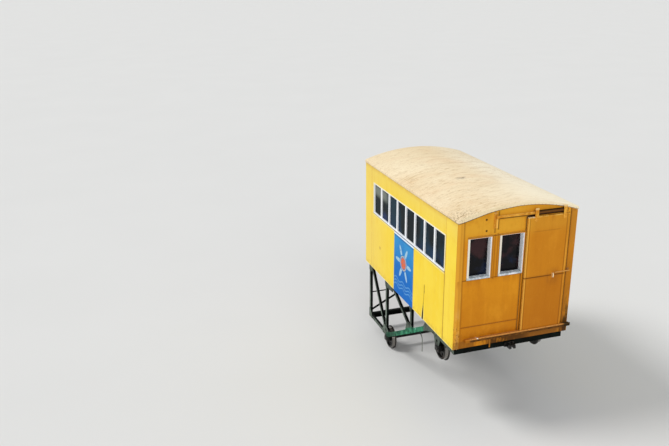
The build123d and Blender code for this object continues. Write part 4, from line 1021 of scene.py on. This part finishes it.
def side_screws():
    """Rows along the foot, the sill and the joints of the side panels, clear of the banner."""
    rows = (SKIRT_Z + 0.035, BAND_Z[0] - 0.040, 3.235)
    points = [(x, SIDE_Y, z) for z in rows for x in spread(-2.225, 1.865, 0.24)
              if z > BAND_Z[0] or not BANNER_X[0] - 0.02 < x < BANNER_X[1] + 0.02]
    for x in (SIDE_SEAMS[0] - 0.035, SIDE_SEAMS[1] + 0.035):
        points += [(x, SIDE_Y, z) for z in spread(1.30, 3.05, 0.25)]
    return both_sides(points, *SCREW)


def end_screws():
    """Round the waist panel, along the corner boards and over the windows of the end walls."""
    points = [(HIGH_X, y, z) for y, z in frame_of(-0.925, WINDOW_2[1] - 0.065, 1.275, 2.262, 0.25)]
    points += [(HIGH_X + 0.006, side * 1.055, 1.30 + 0.31 * index) for index in range(7) for side in (-1, 1)]
    points += [(HIGH_X, y, 3.235) for y in (-0.80, -0.62, -0.47, -0.30, -0.10, 0.10)]
    return on_end(points, *SCREW)


def leaf_screws(end):
    """Round the leaf, and four in the plate of its handle."""
    outline = frame_of(LEAF_Y[0] + 0.055, LEAF_Y[1] - 0.060, LEAF_Z[0] + 0.070, LEAF_Z[1] - 0.110, 0.26)
    points = [(LEAF_OUT, y, z) for y, z in outline if abs(z - LEAF_SEAM_Z) > 0.03]
    points += [(LEAF_OUT + 0.003, HANDLE[0] + aside, HANDLE[1] + above)
               for aside in (-0.015, 0.015) for above in (-0.039, 0.039)]
    return on_end(points, *LEAF_SCREW, end)


def hanger_bolts(end):
    """Two through each strap and one nut on each roller pin."""
    face = LEAF_OUT + 0.0063
    bolts = on_end([(face, y, z) for y in HANGERS for z in (3.196, 3.232)], 0.009, 0.006, end, 0.013)
    return bolts + on_end([(face, y, RAIL_Z[1] + 0.0223) for y in HANGERS], 0.010, 0.008, end, 0.014)


def rail_bolts():
    """Three along the rail, and two in the batten at its end."""
    start, finish = RAIL_Y
    level = sum(RAIL_Z) / 2
    points = [(LEAF_OUT - 0.0115, y, level) for y in (start + 0.020, (start + finish) / 2, finish - 0.020)]
    points += [(HIGH_X + 0.012, start, z) for z in (3.150, 3.265)]
    return on_end(points, *RAIL_BOLT)


def box_bolts():
    """Four on the cap of each axle box."""
    offset = (-0.029, 0.029)
    return both_sides([(x + across, AXLE_BOX_Y, z + up) for x, z in (FRONT_AXLE, REAR_AXLE)
                       for across in offset for up in offset], *BOX_BOLT)


def canvas_tacks():
    """Along the hem, over the four walls."""
    end = [(ROOF_X[1] + CANVAS_GAP, y, hem_height(y) + 0.010) for y in spread(-1.04, 1.04, 0.065)]
    eave = [(x, ROOF_HALF + CANVAS_GAP, HEM_Z + 0.006) for x in spread(-2.24, 1.87, 0.10)]
    return on_end(end, *TACK) + both_sides(eave, *TACK)


def banner_screws():
    """Round each banner."""
    outline = frame_of(BANNER_X[0] + 0.025, BANNER_X[1] - 0.025, SKIRT_Z + 0.030, BAND_Z[0] - 0.055, 0.30)
    return both_sides([(x, BANNER_Y, z) for x, z in outline], *BANNER_SCREW)


def clevis_bolts():
    """Four in the foot plate of the haulage clevis."""
    return [((1.875, side * 0.068, z), (1, 0, 0), 0.009, 0.007, 0.013)
            for side in (-1, 1) for z in (0.966, 1.006)]


heads("gusset_rivets", "car", chassis, gusset_rivets(), 10, 3)
heads("side_panel_screws", "car", enamel, side_screws(), 8, 2)
heads("end_wall_screws", "car", enamel, end_screws(), 8, 2)
heads("banner_screws", "car", banner_blue, banner_screws(), 8, 2)
heads("door_rail_bolts", "car", door_gear, rail_bolts(), 6, 1)
heads("axle_box_bolts", "car", running_gear, box_bolts(), 6, 1)
heads("canvas_tacks", "car", running_gear, canvas_tacks(), 8, 2)
heads("clevis_bolts", "car", running_gear, clevis_bolts(), 6, 1)
for end in ("uphill", "downhill"):
    heads(f"{end}_door_screws", f"{end}_door", leaf_finish, leaf_screws(end), 8, 2)
    heads(f"{end}_hanger_bolts", f"{end}_door", door_gear, hanger_bolts(end), 6, 1)


# Camera, lights and floor

def add_camera():
    """The photograph's camera, as solved from the straight edges of the car."""
    azimuth, elevation, roll = [math.radians(angle) for angle in (17.167, 19.001, -0.8575)]
    place = (11.2588, -5.9660, 6.8972)
    forward = Vector((-math.cos(elevation) * math.cos(azimuth),
                      math.cos(elevation) * math.sin(azimuth), -math.sin(elevation)))
    right = Vector((math.sin(azimuth), math.cos(azimuth), 0))
    up = right.cross(forward)
    side = math.cos(roll) * right + math.sin(roll) * up
    top = math.cos(roll) * up - math.sin(roll) * right
    data = bpy.data.cameras.new("photo_camera")
    data.sensor_width = 36.0
    data.lens = 38.287
    data.clip_end = 1000.0
    camera = put("photo_camera", data)
    turn = Matrix((side, top, -forward)).transposed().to_4x4()
    camera.matrix_world = Matrix.Translation(place) @ turn
    bpy.context.scene.camera = camera


def add_sun(name, direction, strength, angle):
    data = bpy.data.lights.new(name, "SUN")
    data.energy = strength
    data.angle = math.radians(angle)
    put(name, data).rotation_euler = Vector(direction).to_track_quat("Z", "Y").to_euler()


def add_floor():
    """A wide pale floor."""
    reach = 400.0
    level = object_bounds()[0][2] - 0.002
    mesh = bpy.data.meshes.new("floor")
    corners = [(-reach, -reach, level), (reach, -reach, level), (reach, reach, level), (-reach, reach, level)]
    mesh.from_pydata(corners, [], [(0, 1, 2, 3)])
    floor = put("floor", mesh)
    ground = Finish("floor_pale", Specular_IOR_Level=0.1)
    ground.base(ground.noise(0.3), (222, 221, 218), (226, 225, 222))
    floor.data.materials.append(ground.done(0.9))


def add_sky():
    """A soft sky. The camera, reflections and clear glass see it in the tone of the floor."""
    world = bpy.data.worlds.new("studio")
    world.use_nodes = True
    tree = world.node_tree
    light = tree.nodes["Background"]
    light.inputs[0].default_value = (0.93, 0.96, 1.0, 1.0)
    light.inputs[1].default_value = 0.52
    backdrop = add(tree, "Background", {0: rgb(225, 225, 223)})
    path = add(tree, "LightPath", {})
    seen = either(*[path.outputs[ray] for ray in ("Is Camera Ray", "Is Glossy Ray", "Is Transmission Ray")])
    shader = add(tree, "MixShader", {0: seen, 1: light.outputs[0], 2: backdrop.outputs[0]})
    feed(tree.nodes["World Output"].inputs[0], shader.outputs[0])
    bpy.context.scene.world = world


add_camera()
add_sun("key", (-0.30, -0.85, 1.0), 1.65, 20.0)
add_sun("fill", (1.0, -0.15, 0.55), 0.92, 50.0)
add_floor()
add_sky()
bpy.context.scene.view_settings.view_transform = "Standard"
